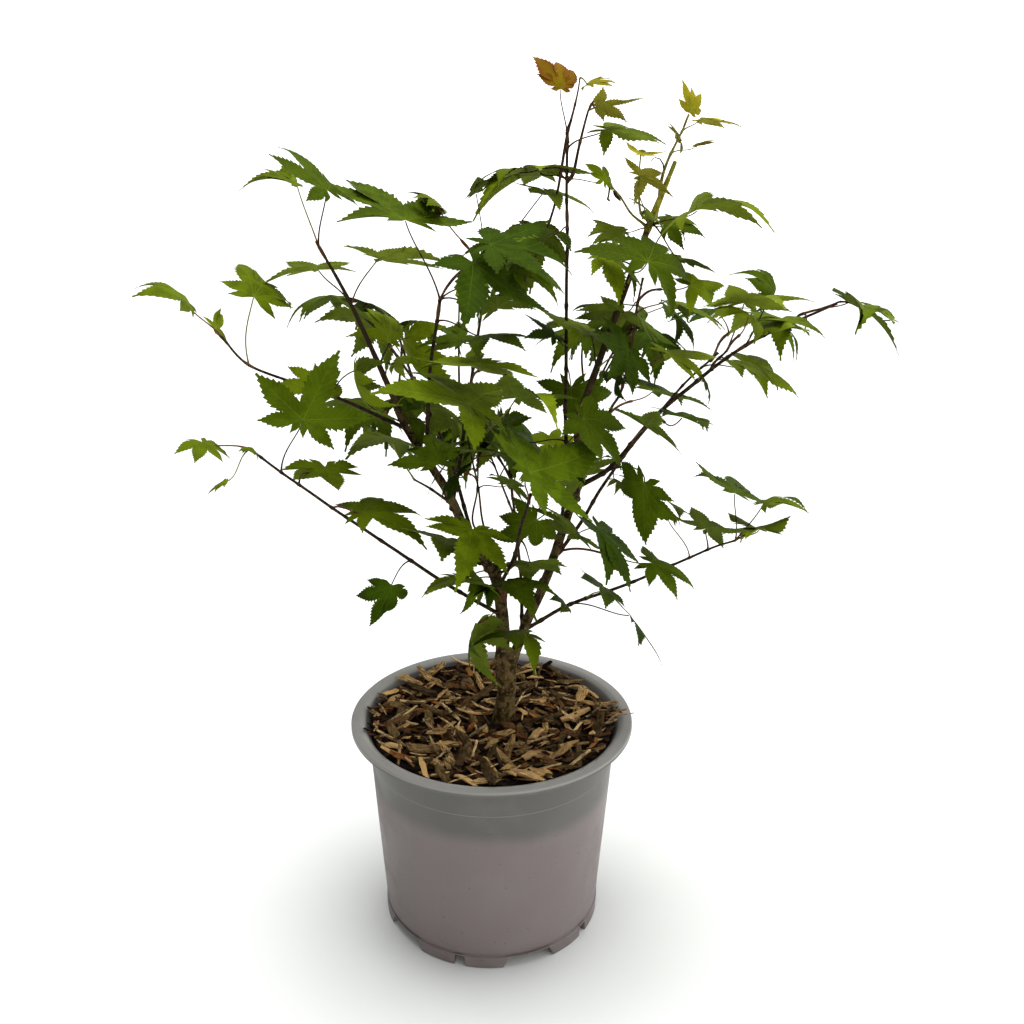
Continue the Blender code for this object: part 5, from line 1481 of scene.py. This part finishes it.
        ("leader_right", 0.62, (0.0808, -0.0137, 0.3982), 327, -20, -55, 0.0357, 1.08, "deep",
         (-10, 30, -5, 0, -45, 0, -5), (-121, -88, -38, -5, 40, 86, 124), (100, 105, 95, 90, 100, 100, 105)),
        ("bronzeShoot", 0.00, (0.1147, 0.0017, 0.4471), 355, 21, -14, 0.0356, 1.07, "bright",
         (65, 40, 75, 70, 60, 70, 80), (-129, -85, -39, 10, 33, 65, 127), (75, 80, 75, 80, 105, 100, 105)),
    ],
    "leaves_right_outer": [
        ("bough_right", 0.72, (0.1563, -0.0458, 0.4342), 322, 24, -85, 0.0302, 1.01, "mid",
         (180, 200, 155, 105, 205, 210, 160), (-100, -64, -31, 5, 33, 65, 95), (95, 75, 85, 80, 115, 105, 100)),
        ("rightUpperTwig", 1.00, (0.1348, -0.0648, 0.4317), 22, 29, -5, 0.0423, 0.95, "airy",
         (85, 50, 50, 100, 5, 45, 90), (-113, -83, -46, 1, 47, 81, 114), (110, 100, 95, 90, 85, 105, 100)),
        ("rightUpperTwig", 1.00, (0.1350, -0.0778, 0.4275), 203, 21, 24, 0.0347, 0.98, "airy",
         (160, 205, 160, 140, 165, 165, 125), (-119, -81, -44, 4, 38, 79, 117), (110, 85, 75, 90, 95, 110, 100)),
        ("bough_right", 0.55, (0.1200, -0.0458, 0.3856), 26, -24, -54, 0.0143, 0.93, "deep",
         (60, 25, 60, 80, 35, 70, 60), (-127, -89, -55, -1, 45, 88, 131), (100, 100, 110, 100, 95, 100, 115)),
    ],
    "leaves_right_tip": [
        ("bough_right", 0.78, (0.1624, -0.0433, 0.4208), 355, -1, 8, 0.0341, 0.92, "bright",
         (70, 145, 100, 100, 60, 115, 100), (-118, -83, -51, 14, 43, 78, 119), (100, 100, 90, 100, 95, 95, 105)),
        ("rightTipTwig", 0.31, (0.2020, -0.0344, 0.4285), 12, 5, -28, 0.0543, 0.91, "bright",
         (20, 95, 10, 90, 45, 20, 75), (-78, -53, -5, 14, 18, 45, 71), (120, 115, 75, 95, 105, 90, 90)),
        ("rightTipTwig", 1.00, (0.2273, -0.0371, 0.4195), 218, 29, 16, 0.0338, 0.88, "bright",
         (0, -30, 45, 55, 10, -10, 5), (-124, -86, -46, -3, 44, 54, 97), (110, 110, 70, 90, 85, 85, 105)),
        ("rightTipTwig", 0.31, (0.1726, -0.0517, 0.4158), 264, 25, 10, 0.0345, 0.91, "light",
         (55, 80, 115, 70, 20, 15, 75), (-112, -79, -45, -2, 46, 80, 130), (70, 80, 75, 85, 100, 85, 95)),
    ],
    "leaves_right_back": [
        ("bough_right_thin", 0.91, (0.1711, 0.0597, 0.3744), 113, -1, 21, 0.0434, 1.01, "bright",
         (75, 60, 50, 95, 55, 125, 50), (-110, -73, -31, -5, 39, 79, 101), (95, 105, 100, 105, 105, 95, 90)),
        ("rightUpperTwig", 0.66, (0.1402, -0.0142, 0.3917), 84, -3, -5, 0.0408, 0.89, "bright",
         (100, 105, 80, 95, 70, 75, 70), (-113, -59, -44, -14, 47, 75, 89), (105, 110, 90, 85, 90, 100, 95)),
    ],
    "leaves_right_heart": [
        ("rightSideTwig", 0.82, (0.1103, 0.0383, 0.4199), 86, -8, -2, 0.0484, 0.84, "bright",
         (95, 75, 75, 65, 45, 90, 20), (-92, -56, -56, 1, 38, 85, 91), (100, 100, 95, 95, 100, 90, 105)),
        ("rightSideTwig", 0.50, (0.1095, 0.0183, 0.3901), 126, -5, 18, 0.0444, 0.98, "light",
         (35, 50, 115, 5, 90, 55, 50), (-132, -79, -47, 3, 58, 87, 133), (95, 100, 115, 105, 85, 95, 105)),
        ("rightSideTwig", 0.72, (0.0941, 0.0483, 0.4115), 116, -53, 33, 0.0435, 0.92, "mid",
         (0, -10, 50, -45, -5, -35, 25), (-88, -55, -44, -13, 26, 63, 88), (90, 110, 105, 100, 95, 100, 100)),
        ("rightSideTwig", 0.29, (0.1099, 0.0677, 0.3555), 143, -2, 11, 0.0484, 1.07, "mid",
         (5, -25, 20, 65, 30, -30, -5), (-120, -78, -48, 5, 47, 83, 131), (95, 100, 90, 95, 105, 100, 105)),
        ("rightSideTwig", 0.48, (0.0785, 0.0151, 0.3773), 350, 12, 75, 0.0290, 1.01, "deep",
         (70, 75, 25, 80, 85, 90, 70), (-114, -93, -43, 9, 33, 81, 129), (95, 75, 90, 85, 100, 80, 100)),
    ],
    "leaves_right_front": [
        ("bough_right", 0.25, (0.0884, -0.0421, 0.3579), 7, 19, -34, 0.0387, 0.79, "shade",
         (10, 45, 45, -15, 35, 45, -5), (-95, -70, -36, 7, 33, 76, 97), (95, 100, 85, 105, 85, 105, 100)),
        ("bough_right", 0.34, (0.1045, -0.0681, 0.3696), 156, 0, 10, 0.0394, 0.92, "deep",
         (40, 35, 90, 65, 70, 60, 50), (-95, -55, -34, 11, 17, 53, 96), (105, 95, 80, 100, 105, 80, 100)),
        ("bough_right", 0.12, (0.0868, -0.0579, 0.3286), 226, -76, -85, 0.0372, 1.07, "mid",
         (65, 60, 115, 15, 75, 85, 85), (-118, -83, -50, -17, 54, 89, 128), (105, 85, 100, 105, 85, 110, 105)),
        ("bough_right", 0.16, (0.0769, -0.0200, 0.3186), 160, -30, 20, 0.0135, 0.80, "dried",
         (160, 150, 120, 140, 130, 160, 170), (-120, -84, -40, 0, 38, 80, 118), (100, 100, 100, 100, 100, 100, 100)),
    ],
    "leaves_low_right_tip": [
        ("bough_low_right", 1.00, (0.1629, 0.0324, 0.2934), 178, 10, 24, 0.0435, 1.02, "mid",
         (20, -45, 65, 20, 30, 20, 15), (-107, -67, -31, 13, 30, 65, 94), (85, 115, 100, 95, 85, 100, 90)),
        ("bough_low_right", 1.00, (0.1853, 0.0422, 0.2830), 112, 24, -13, 0.0374, 0.94, "bright",
         (65, 75, 120, 115, 105, -25, 105), (-103, -80, -50, -7, 56, 86, 118), (100, 85, 90, 105, 95, 95, 120)),
        ("bough_low_right", 1.00, (0.1782, 0.0318, 0.2689), 163, -7, 10, 0.0318, 1.04, "bright",
         (0, 55, -10, 70, -50, 25, 20), (-108, -67, -42, 1, 39, 61, 100), (105, 80, 105, 85, 120, 105, 100)),
        ("bough_low_right", 0.87, (0.1431, 0.0237, 0.2714), 24, 29, -30, 0.0374, 0.95, "mid",
         (15, 30, -35, 60, -5, -15, 5), (-151, -117, -50, -1, 49, 107, 158), (100, 105, 90, 90, 100, 85, 100)),
        ("bough_right", 0.16, (0.1080, -0.0012, 0.3017), 186, -3, 36, 0.0435, 1.06, "mid",
         (55, 95, 45, 20, 35, -25, 30), (-108, -85, -50, -9, 49, 92, 135), (95, 115, 100, 85, 95, 85, 110)),
        ("bough_low_right", 0.77, (0.1160, 0.0200, 0.2861), 80, -25, -25, 0.0165, 0.80, "dried",
         (150, 160, 100, 110, 150, 160, 170), (-120, -84, -40, 0, 38, 80, 118), (100, 100, 100, 100, 100, 100, 100)),
        ("bough_low_right", 1.00, (0.1832, 0.0380, 0.2669), 236, -11, 12, 0.0391, 0.70, "light",
         (70, 75, 65, 45, 55, 35, 85), (-129, -85, -75, -4, 47, 110, 135), (110, 95, 55, 85, 110, 80, 80)),
    ],
    "leaves_low_right": [
        ("bough_right_thin", 0.09, (0.0647, -0.0200, 0.2887), 45, -37, -21, 0.0443, 1.04, "deep",
         (10, 20, 10, 25, 55, -45, 20), (-138, -86, -42, 5, 27, 99, 124), (95, 90, 105, 105, 105, 105, 95)),
        ("bough_right_thin", 0.08, (0.1018, -0.0099, 0.2603), 90, -10, 15, 0.0380, 0.99, "mid",
         (100, 60, 155, 80, 100, 90, 100), (-132, -95, -60, 4, 46, 96, 147), (95, 95, 110, 95, 85, 80, 120)),
        ("bough_low_right", 0.31, (0.0692, -0.0300, 0.2526), 320, 26, -18, 0.0327, 1.08, "mid",
         (-30, 20, 40, -10, -50, 10, 45), (-107, -75, -44, 2, 25, 83, 113), (105, 105, 100, 90, 90, 85, 95)),
        ("leader_right", 0.29, (0.0536, -0.0161, 0.2801), 310, 52, -7, 0.0487, 0.95, "deep",
         (40, 25, 60, 45, 60, 50, 80), (-122, -78, -47, -1, 42, 84, 114), (90, 90, 95, 95, 95, 115, 115)),
    ],
    "leaves_low_right_hanging": [
        ("bough_low_right", 0.24, (0.0890, -0.0124, 0.2250), 148, -40, 34, 0.0460, 0.77, "shade",
         (10, 30, 10, 40, 30, 90, 85), (-140, -91, -58, 3, 49, 104, 135), (105, 95, 75, 95, 95, 90, 115)),
    ],
    "leaves_front": [
        ("bough_front", 0.93, (0.0193, -0.0938, 0.3454), 145, -7, 43, 0.0499, 0.97, "mid",
         (-30, -5, 40, -35, -15, -10, -5), (-157, -105, -56, 0, 62, 116, 160), (95, 90, 95, 130, 95, 90, 100)),
    ],
    "leaves_low_front": [
        ("bough_back_left", 0.03, (-0.0119, -0.0617, 0.3019), 352, -15, -23, 0.0420, 0.90, "bright",
         (5, 0, -5, 55, -30, 45, 15), (-129, -101, -41, -2, 54, 85, 130), (110, 90, 100, 105, 85, 100, 100)),
        ("leader_left", 0.29, (-0.0276, -0.0379, 0.2878), 2, 13, -17, 0.0472, 1.00, "bright",
         (20, 45, 5, 20, -10, 45, 35), (-130, -86, -45, 2, 42, 91, 125), (100, 105, 95, 105, 95, 95, 110)),
        ("centreShootLeft", 0.66, (-0.0321, -0.0421, 0.3351), 207, 43, -7, 0.0375, 0.93, "mid",
         (75, 75, 130, 90, 120, 85, 85), (-94, -66, -26, 13, 29, 58, 97), (105, 120, 80, 100, 90, 100, 105)),
        ("leader_left", 0.22, (-0.0197, -0.0376, 0.2616), 42, -2, -13, 0.0426, 0.84, "light",
         (35, 105, 95, -25, 20, 150, 75), (-161, -107, -63, -4, 71, 103, 159), (105, 105, 85, 70, 100, 100, 120)),
        ("centreShootLeft", 0.60, (0.0086, -0.0319, 0.3194), 25, 23, -38, 0.0231, 1.06, "shade",
         (35, 95, 75, 20, 45, 60, 75), (-136, -88, -57, -3, 48, 92, 141), (95, 90, 100, 105, 110, 95, 100)),
        ("centreShootRight", 0.86, (-0.0123, -0.0038, 0.3392), 148, -17, -11, 0.0386, 0.91, "deep",
         (85, 60, 155, 50, 60, 85, 105), (-127, -89, -41, -12, 52, 91, 125), (90, 100, 110, 95, 90, 100, 85)),
        ("centreShootLeft", 0.73, (-0.0203, -0.0334, 0.3247), 228, -16, -34, 0.0321, 0.89, "shade",
         (170, 115, 130, 115, 140, 85, 120), (-104, -79, -39, 5, 28, 81, 108), (120, 80, 70, 90, 100, 90, 90)),
        ("centreShootLeft", 0.79, (0.0021, -0.0162, 0.3357), 281, 11, 8, 0.0449, 1.10, "mid",
         (45, 50, -5, 70, 45, 75, 60), (-129, -101, -44, -2, 48, 101, 130), (105, 115, 90, 100, 75, 95, 100)),
    ],
    "leaves_low_middle": [
        ("leader_right", 0.55, (0.0523, -0.0398, 0.3621), 70, -36, 17, 0.0403, 1.11, "mid",
         (0, 0, 35, 55, -35, -15, 15), (-139, -99, -52, 2, 48, 93, 137), (105, 100, 100, 95, 100, 95, 105)),
        ("heartTwig", 0.55, (0.0238, -0.0193, 0.2650), 181, -34, -1, 0.0382, 1.07, "shade",
         (0, 45, -30, 35, 10, 25, -30), (-97, -63, -30, 1, 37, 68, 91), (115, 95, 85, 100, 105, 100, 105)),
        ("bough_back_right", 0.16, (0.0270, -0.0298, 0.2962), 279, -42, -81, 0.0343, 0.95, "mid",
         (150, 140, 165, 100, 140, 175, 140), (-116, -88, -48, 9, 42, 82, 115), (100, 105, 85, 105, 90, 100, 100)),
    ],
    "leaves_foot": [
        ("bough_low_left", 0.03, (-0.0096, -0.0363, 0.2308), 226, -68, -16, 0.0439, 1.02, "mid",
         (145, 205, 120, 115, 155, 180, 165), (-102, -73, -38, 3, 44, 71, 97), (100, 95, 90, 105, 95, 90, 95)),
        ("leader_right", 0.03, (0.0201, -0.0299, 0.2211), 280, 8, 9, 0.0459, 0.97, "bright",
         (105, 165, 75, 90, 110, 150, 95), (-132, -93, -66, 5, 51, 99, 136), (120, 110, 60, 80, 90, 110, 100)),
        ("bough_front", 0.12, (0.0087, -0.0259, 0.2550), 9, 17, 10, 0.0404, 1.06, "mid",
         (55, 125, 70, 80, 30, 100, 100), (-139, -94, -43, -8, 58, 99, 138), (110, 90, 100, 110, 80, 100, 105)),
        ("leader_left", 0.20, (-0.0123, -0.0363, 0.2596), 130, -30, 49, 0.0339, 0.99, "mid",
         (170, 210, 160, 95, 190, 185, 165), (-115, -82, -43, -3, 40, 91, 113), (90, 95, 100, 95, 80, 105, 100)),
        ("bough_front", 0.09, (-0.0005, -0.0264, 0.2508), 322, -45, 11, 0.0132, 1.09, "deep",
         (145, 135, 165, 60, 155, 140, 115), (-113, -66, -38, -7, 48, 82, 115), (100, 100, 95, 115, 90, 90, 95)),
        ("bough_low_right", 0.21, (0.0464, -0.0213, 0.2371), 229, 35, 40, 0.0373, 0.94, "deep",
         (105, 95, 65, 115, 85, 80, 135), (-111, -78, -42, 8, 25, 83, 116), (105, 85, 90, 100, 85, 100, 105)),
    ],
    "leaves_back_left": [],
    "leaves_back_right": [],
    "leaves_back": [],
    "leaves_back_side": [],
}
sprays = {  # masses with leaves grown by rule: the bough they grow from, how many leaves, and the seed
    "leaves_back_left": ("bough_back_left", 5, 215), "leaves_back_right": ("bough_back_right", 9, 93),
    "leaves_back": ("bough_back_low", 11, 237), "leaves_back_side": ("bough_back_left", 5, 240),
    "leaves_crown_middle": ("bough_tall", 1, 225), "leaves_upper_back": ("bough_inner", 2, 245),
    "leaves_right_back": ("bough_right_thin", 3, 222),
}
sprayRule = {  # pairs are a middle and its stray, or a range
    "perTwig": 3, "twigFrom": (0.62, 1.0), "twigTo": ((-0.6, 0.6), (-0.6, 0.6), (-0.5, 0.6)), "twigBow": 0.006,
    "leafFrom": (0.45, 0.85), "stalk": (0.020, 0.032), "stalkLift": (5, 55), "stalkLean": 0.4, "facing": 48,
    "twist": 12, "length": (0.036, 0.049), "lift": (-16, 16), "tilt": (0, 17), "width": (0.86, 1.08),
    "inset": (0.004, 0.002),
    "droop": (0.75, 0.22), "spread": (0.93, 0.07), "cup": (0.3, 0.3), "turnStray": 4, "droopStray": 24, "reachStray": 8,
    "apart": 0.024, "apartWeight": 3, "tries": 60, "margin": 0.004, "tipTurns": (-50, 0, 50), "tipLift": -10,
    "middle": 0.4, "tints": ("deep", "deep", "mid", "mid", "mid", "bright"),
}
stalkForm = {
    "spacing": 0.0022, "least": 6, "foot": 0.00075, "middle": 0.00050, "end": 0.00038, "footLength": 0.0028,
    "seat": 0.0005, "leave": (0.75, 0.28, 0.22), "arrive": (0.40, 0.42, 0.80), "pull": (0.36, 0.30),
    "twig": 0.00078, "twigFrom": 0.058, "twigShare": 0.48, "twigTaper": (1.1, 0.3), "joint": (0.44, 0.52),
    "jointSwell": 1.25, "smallLeaf": 0.03, "smallGirth": 0.8, "red": 0.4, "green": 0.1,
    "greenBy": {"young": 0.9, "youngLit": 0.9, "pale": 0.8, "turning": 0.6, "turningLit": 0.6, "light": 0.25,
                "bright": 0.2},
}
grownLeaves = {piece: [] for piece in leafPieces}
strands = {"dark": [], "red": [], "green": []}
twigNames = []
hubs = [Vector(row[2]) for rows in leafRows.values() for row in rows]


def sightOf(hub, turn, lift, size):  # the way from the front to the middle of a blade
    return (hub + heading(turn, lift) * sprayRule["middle"] * size - Vector(shot["place"])).normalized()


sights = [sightOf(Vector(row[2]), row[3], row[4], row[6]) for rows in leafRows.values() for row in rows]


def leafAxes(turn, lift, tilt):
    ahead = heading(turn, lift)
    flatOut = heading(turn, lift + 90)
    beside = ahead.cross(flatOut)
    out = flatOut * math.cos(math.radians(tilt)) + beside * math.sin(math.radians(tilt))
    return ahead.cross(out), ahead, out


def addLeaf(piece, limb, share, hub, turn, lift, tilt, size, widen, tint, droops, turns, reaches, dice):
    leaf = {"hub": Vector(hub), "axes": leafAxes(turn, lift, tilt), "size": size, "widen": widen, "droops": droops,
            "turns": turns, "reaches": reaches, "tint": tint, "shade": dice.random(), "web": dice.uniform(0.9, 1.12)}
    grownLeaves[piece].append((leaf, dice))
    hangStalk(leaf, limb, share, dice)


def hangStalk(leaf, limb, share, dice):  # from its node on the limb to the blade's hub, coming in from below
    s = stalkForm
    node, way, index = along(limb, share)
    lines[limb]["nodes"].append(index)
    ahead, out = leaf["axes"][1:]
    hub = leaf["hub"] - out * s["seat"]
    gap, straight = (hub - node).length, (hub - node).normalized()
    leave = (straight * s["leave"][0] + way * s["leave"][1] + up * s["leave"][2]).normalized()
    arrive = (ahead * s["arrive"][0] + out * s["arrive"][1] + straight * s["arrive"][2]).normalized()
    bent, reached = node + leave * gap * s["pull"][0], hub - arrive * gap * s["pull"][1]
    steps = max(s["least"], round(gap / s["spacing"]))
    line, girth = [], []
    for step in range(steps + 1):
        t = step / steps
        line.append((1 - t) ** 3 * node + 3 * t * (1 - t) ** 2 * bent + 3 * t ** 2 * (1 - t) * reached + t ** 3 * hub)
        radius = mixed(s["middle"], s["end"], t) + (s["foot"] - s["middle"]) * math.exp(-t * gap / s["footLength"])
        if gap > s["twigFrom"] and t < s["twigShare"]:
            radius = s["twig"] * (s["twigTaper"][0] - s["twigTaper"][1] * t)
        if gap > s["twigFrom"] and s["joint"][0] < t < s["joint"][1]:
            radius = s["twig"] * s["jointSwell"]
        girth.append(radius * (s["smallGirth"] if leaf["size"] < s["smallLeaf"] else 1.0))
    green = dice.random() < s["greenBy"].get(leaf["tint"], s["green"])
    kind = "green" if green else "red" if dice.random() < s["red"] else "dark"
    strands[kind].append((line, girth))


def growTwig(mass, number, low, high, dice):
    r = sprayRule
    host = sprays[mass][0]
    middle, half = (low + high) / 2, (high - low) / 2
    reach = middle + Vector([dice.uniform(*limits) * size for limits, size in zip(r["twigTo"], half)])
    start = along(host, dice.uniform(*r["twigFrom"]))[0]
    bow = Vector((dice.uniform(-1, 1), dice.uniform(-1, 1), dice.uniform(0, 1))) * r["twigBow"]
    route = [tuple(place) for place in (start, start.lerp(reach, 0.5) + bow, reach)]
    twig = f"{mass}Twig{number}"
    growLimb(twig, host, growth["twigRadii"], route)
    twigNames.append(twig)
    return twig


def tryLeaf(twig, first, low, high, dice):  # a seat: its score, best when low, share along, hub, facing and size
    r = sprayRule
    share = 1.0 if first else dice.uniform(*r["leafFrom"])
    node, way, index = along(twig, share)
    outward = Vector((node.x, node.y, 0)).normalized()
    facing = math.degrees(math.atan2(outward.x, -outward.y)) + dice.gauss(0, r["facing"])
    size = dice.uniform(*r["length"])
    leave = (heading(facing, dice.uniform(*r["stalkLift"])) + way * r["stalkLean"]).normalized()
    hub = node + leave * dice.uniform(*r["stalk"])
    for axis in range(3):
        hub[axis] = min(max(hub[axis], low[axis] + r["inset"][0]), high[axis] - r["inset"][1])
    for side in r["tipTurns"]:
        tip = hub + heading(facing + side, r["tipLift"]) * size
        for axis in range(3):
            hub[axis] -= (max(0, tip[axis] - cadBox[1][axis] - r["margin"])
                          + min(0, tip[axis] - cadBox[0][axis] + r["margin"]))
    near = min((hub - other).length for other in hubs)
    sight = sightOf(hub, facing, r["tipLift"], size)
    bare = min((sight - other).length for other in sights)
    return bare + max(0, r["apart"] - near) * r["apartWeight"], share, hub, facing, size


def growSpray(piece, mass):  # side twigs into the mass, each with leaves along it and one at its end
    r = sprayRule
    _, count, seed = sprays[mass]
    dice = random.Random(f"{mass}{seed}")
    low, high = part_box(mass)
    for number in range(count):
        first = number % r["perTwig"] == 0
        if first:
            twig = growTwig(mass, number, low, high, dice)
        seats = [tryLeaf(twig, first, low, high, dice) for _ in range(r["tries"])]
        score, share, hub, facing, size = min(seats, key=lambda seat: seat[0])
        hubs.append(hub)
        droop, cup, spreadBy = dice.gauss(*r["droop"]), dice.gauss(*r["cup"]), dice.gauss(*r["spread"])
        turns = [turn * spreadBy + dice.gauss(0, r["turnStray"]) for turn in bladeForm["lobeTurns"]]
        droops = [100 * droop * (1 + cup * math.sin(math.radians(turn)) ** 2) + dice.gauss(0, r["droopStray"])
                  for turn in turns]
        reaches = [100 + dice.gauss(0, r["reachStray"]) for _ in turns]
        pose = (facing + dice.gauss(0, r["twist"]), dice.gauss(*r["lift"]), dice.gauss(*r["tilt"]))
        widen, tint = dice.uniform(*r["width"]), dice.choice(r["tints"])
        addLeaf(piece, twig, share, hub, *pose, size, widen, tint, droops, turns, reaches, dice)


def growCrown():
    for piece, masses in leafPieces.items():
        for mass in masses:
            for number, row in enumerate(leafRows[mass]):
                addLeaf(piece, *row, random.Random(f"{mass}{number}"))
            if mass in sprays:
                growSpray(piece, mass)


def leafMaterials():  # the materials, and which of them each tint takes above and below
    tops = [leafFinish(tint + "Leaf", *colours) for tint, colours in leafTints.items()]
    unders = [leafFinish(age + "Underside", tint, tint, underVein, True) for age, tint in underTints.items()]
    materials = [*unders, *tops, leafFinish("reddenedMargin", *marginTint)]
    ages = list(underTints)
    under = {tint: ages.index(underAges.get(tint, "grown")) for tint in leafTints}
    top = {tint: len(unders) + number for number, tint in enumerate([*leafTints, "margin"])}
    return materials, under, top


def splitSheets(mesh, build):  # the margin where upper and lower sheet meet stays sharp
    sheets = {}
    for face, mark in zip(build["faces"], build["marks"]):
        for low, high in zip(face, face[1:] + face[:1]):
            sheets.setdefault((min(low, high), max(low, high)), set()).add(mark < len(underTints))
    sharp = [len(sheets[tuple(sorted(edge.vertices))]) == 2 for edge in mesh.edges]
    mesh.attributes.new("sharp_edge", "BOOLEAN", "EDGE").data.foreach_set("value", sharp)


def makeFoliage():
    materials, under, top = leafMaterials()
    for piece, masses in leafPieces.items():
        build = {"points": [], "faces": [], "uvs": [], "marks": [], "shade": [], "under": under, "top": top}
        for leaf, dice in grownLeaves[piece]:
            shapeBlade(leaf, dice, build)
        made = addObject(piece, build["points"], build["faces"])
        mesh = made.data
        for material in materials:
            mesh.materials.append(material)
        mesh.shade_smooth()
        mesh.polygons.foreach_set("material_index", build["marks"])
        uvs = [number for uv in build["uvs"] for number in uv]
        mesh.uv_layers.new(name="leafUV").data.foreach_set("uv", uvs)
        mesh.attributes.new("shade", "FLOAT", "POINT").data.foreach_set("value", build["shade"])
        splitSheets(mesh, build)
        settle(made, list(masses))
        print("  ", piece, len(grownLeaves[piece]), "leaves", len(build["faces"]), "faces")


freshTwigs = ("bronzeShoot", "bronzeSideShoot", "shootTip")
rustNodes = {
    "spots": (("bough_far_left", 0.82), ("leader_left", 0.985), ("bough_upright_left", 0.97), ("bough_tall", 0.78),
              ("leader_right", 0.87), ("bough_right", 0.72), ("bough_tall", 0.97), ("leader_left", 0.17)),
    "reach": 4, "foot": 0.9, "swell": 1.32, "roundness": 1.5,
}
swollenShoot = {  # between two heights on the right leader: radii along it
    "low": 0.4612, "high": 0.4975,
    "girth": ((0.0, 0.0016), (0.06, 0.0023), (0.5, 0.0019), (0.9, 0.0015), (1.0, 0.0011)),
}
driedTips = (  # withered tips left hanging by the side shoot and a dry curl on the main one: places and radii
    (((0.0679, 0.0020, 0.4892), 0.0005), ((0.0678, 0.0017, 0.4875), 0.0006), ((0.0675, 0.0014, 0.4850), 0.0005),
     ((0.0670, 0.0010, 0.4829), 0.0007), ((0.0682, 0.0010, 0.4818), 0.0006)),
    (((0.0701, 0.0020, 0.4876), 0.0003), ((0.0710, 0.0017, 0.4862), 0.0010), ((0.0720, 0.0014, 0.4848), 0.0012),
     ((0.0734, 0.0010, 0.4831), 0.0008), ((0.0745, 0.0005, 0.4818), 0.0003)),
    (((0.0923, 0.0080, 0.5042), 0.0003), ((0.0947, 0.0090, 0.5059), 0.0003), ((0.0978, 0.0100, 0.5051), 0.0004),
     ((0.0999, 0.0110, 0.5024), 0.0005), ((0.1008, 0.0120, 0.4990), 0.0005)),
)


def swollenSleeve():  # the leader's newest shoot, plumper and greener than the wood below it
    line = [place for place in lines["leader_right"]["line"] if swollenShoot["low"] < place.z < swollenShoot["high"]]
    return line, [stepRead(swollenShoot["girth"], index / (len(line) - 1)) for index in range(len(line))]


def rustSleeve(limb, share):  # a short rust-brown ring where shoots part
    r = rustNodes
    grown, reach = lines[limb], r["reach"]
    middle = min(len(grown["line"]) - 1 - reach, max(reach, along(limb, share)[2]))
    steps = range(-reach, reach + 1)
    bulges = [math.cos(math.pi * step / (2 * reach + 1)) ** r["roundness"] for step in steps]
    swell = [mixed(r["foot"], r["swell"], bulge) for bulge in bulges]
    return ([grown["line"][middle + step] for step in steps],
            [grown["girth"][middle + step] * size for step, size in zip(steps, swell)])


def wrapLimbs(name, limbNames, replaced=()):
    wrapStems(name, [(lines[limb]["line"], nodeGirths(limb)) for limb in limbNames], replaced)


def makeStems():
    boughs = [name for name in limbs if name.startswith("bough")]
    wrapLimbs("boughBark", boughs, boughs)
    wrapLimbs("fineTwigs", [name for name in [*twigs, *twigNames] if name not in freshTwigs])
    wrapLimbs("freshTwigs", freshTwigs)
    for kind, stalks in strands.items():
        wrapStems(kind + "Stalks", stalks)
    wrapStems("swollenShoot", [swollenSleeve()])
    wrapStems("driedTips", [([Vector(place) for place, _ in tip], [radius for _, radius in tip]) for tip in driedTips])
    wrapStems("rustNodes", [rustSleeve(*spot) for spot in rustNodes["spots"]])


growFrame()
growCrown()
makeTrunk()
makeStems()
print("stems grown")
makeFoliage()
print("leaves hung")
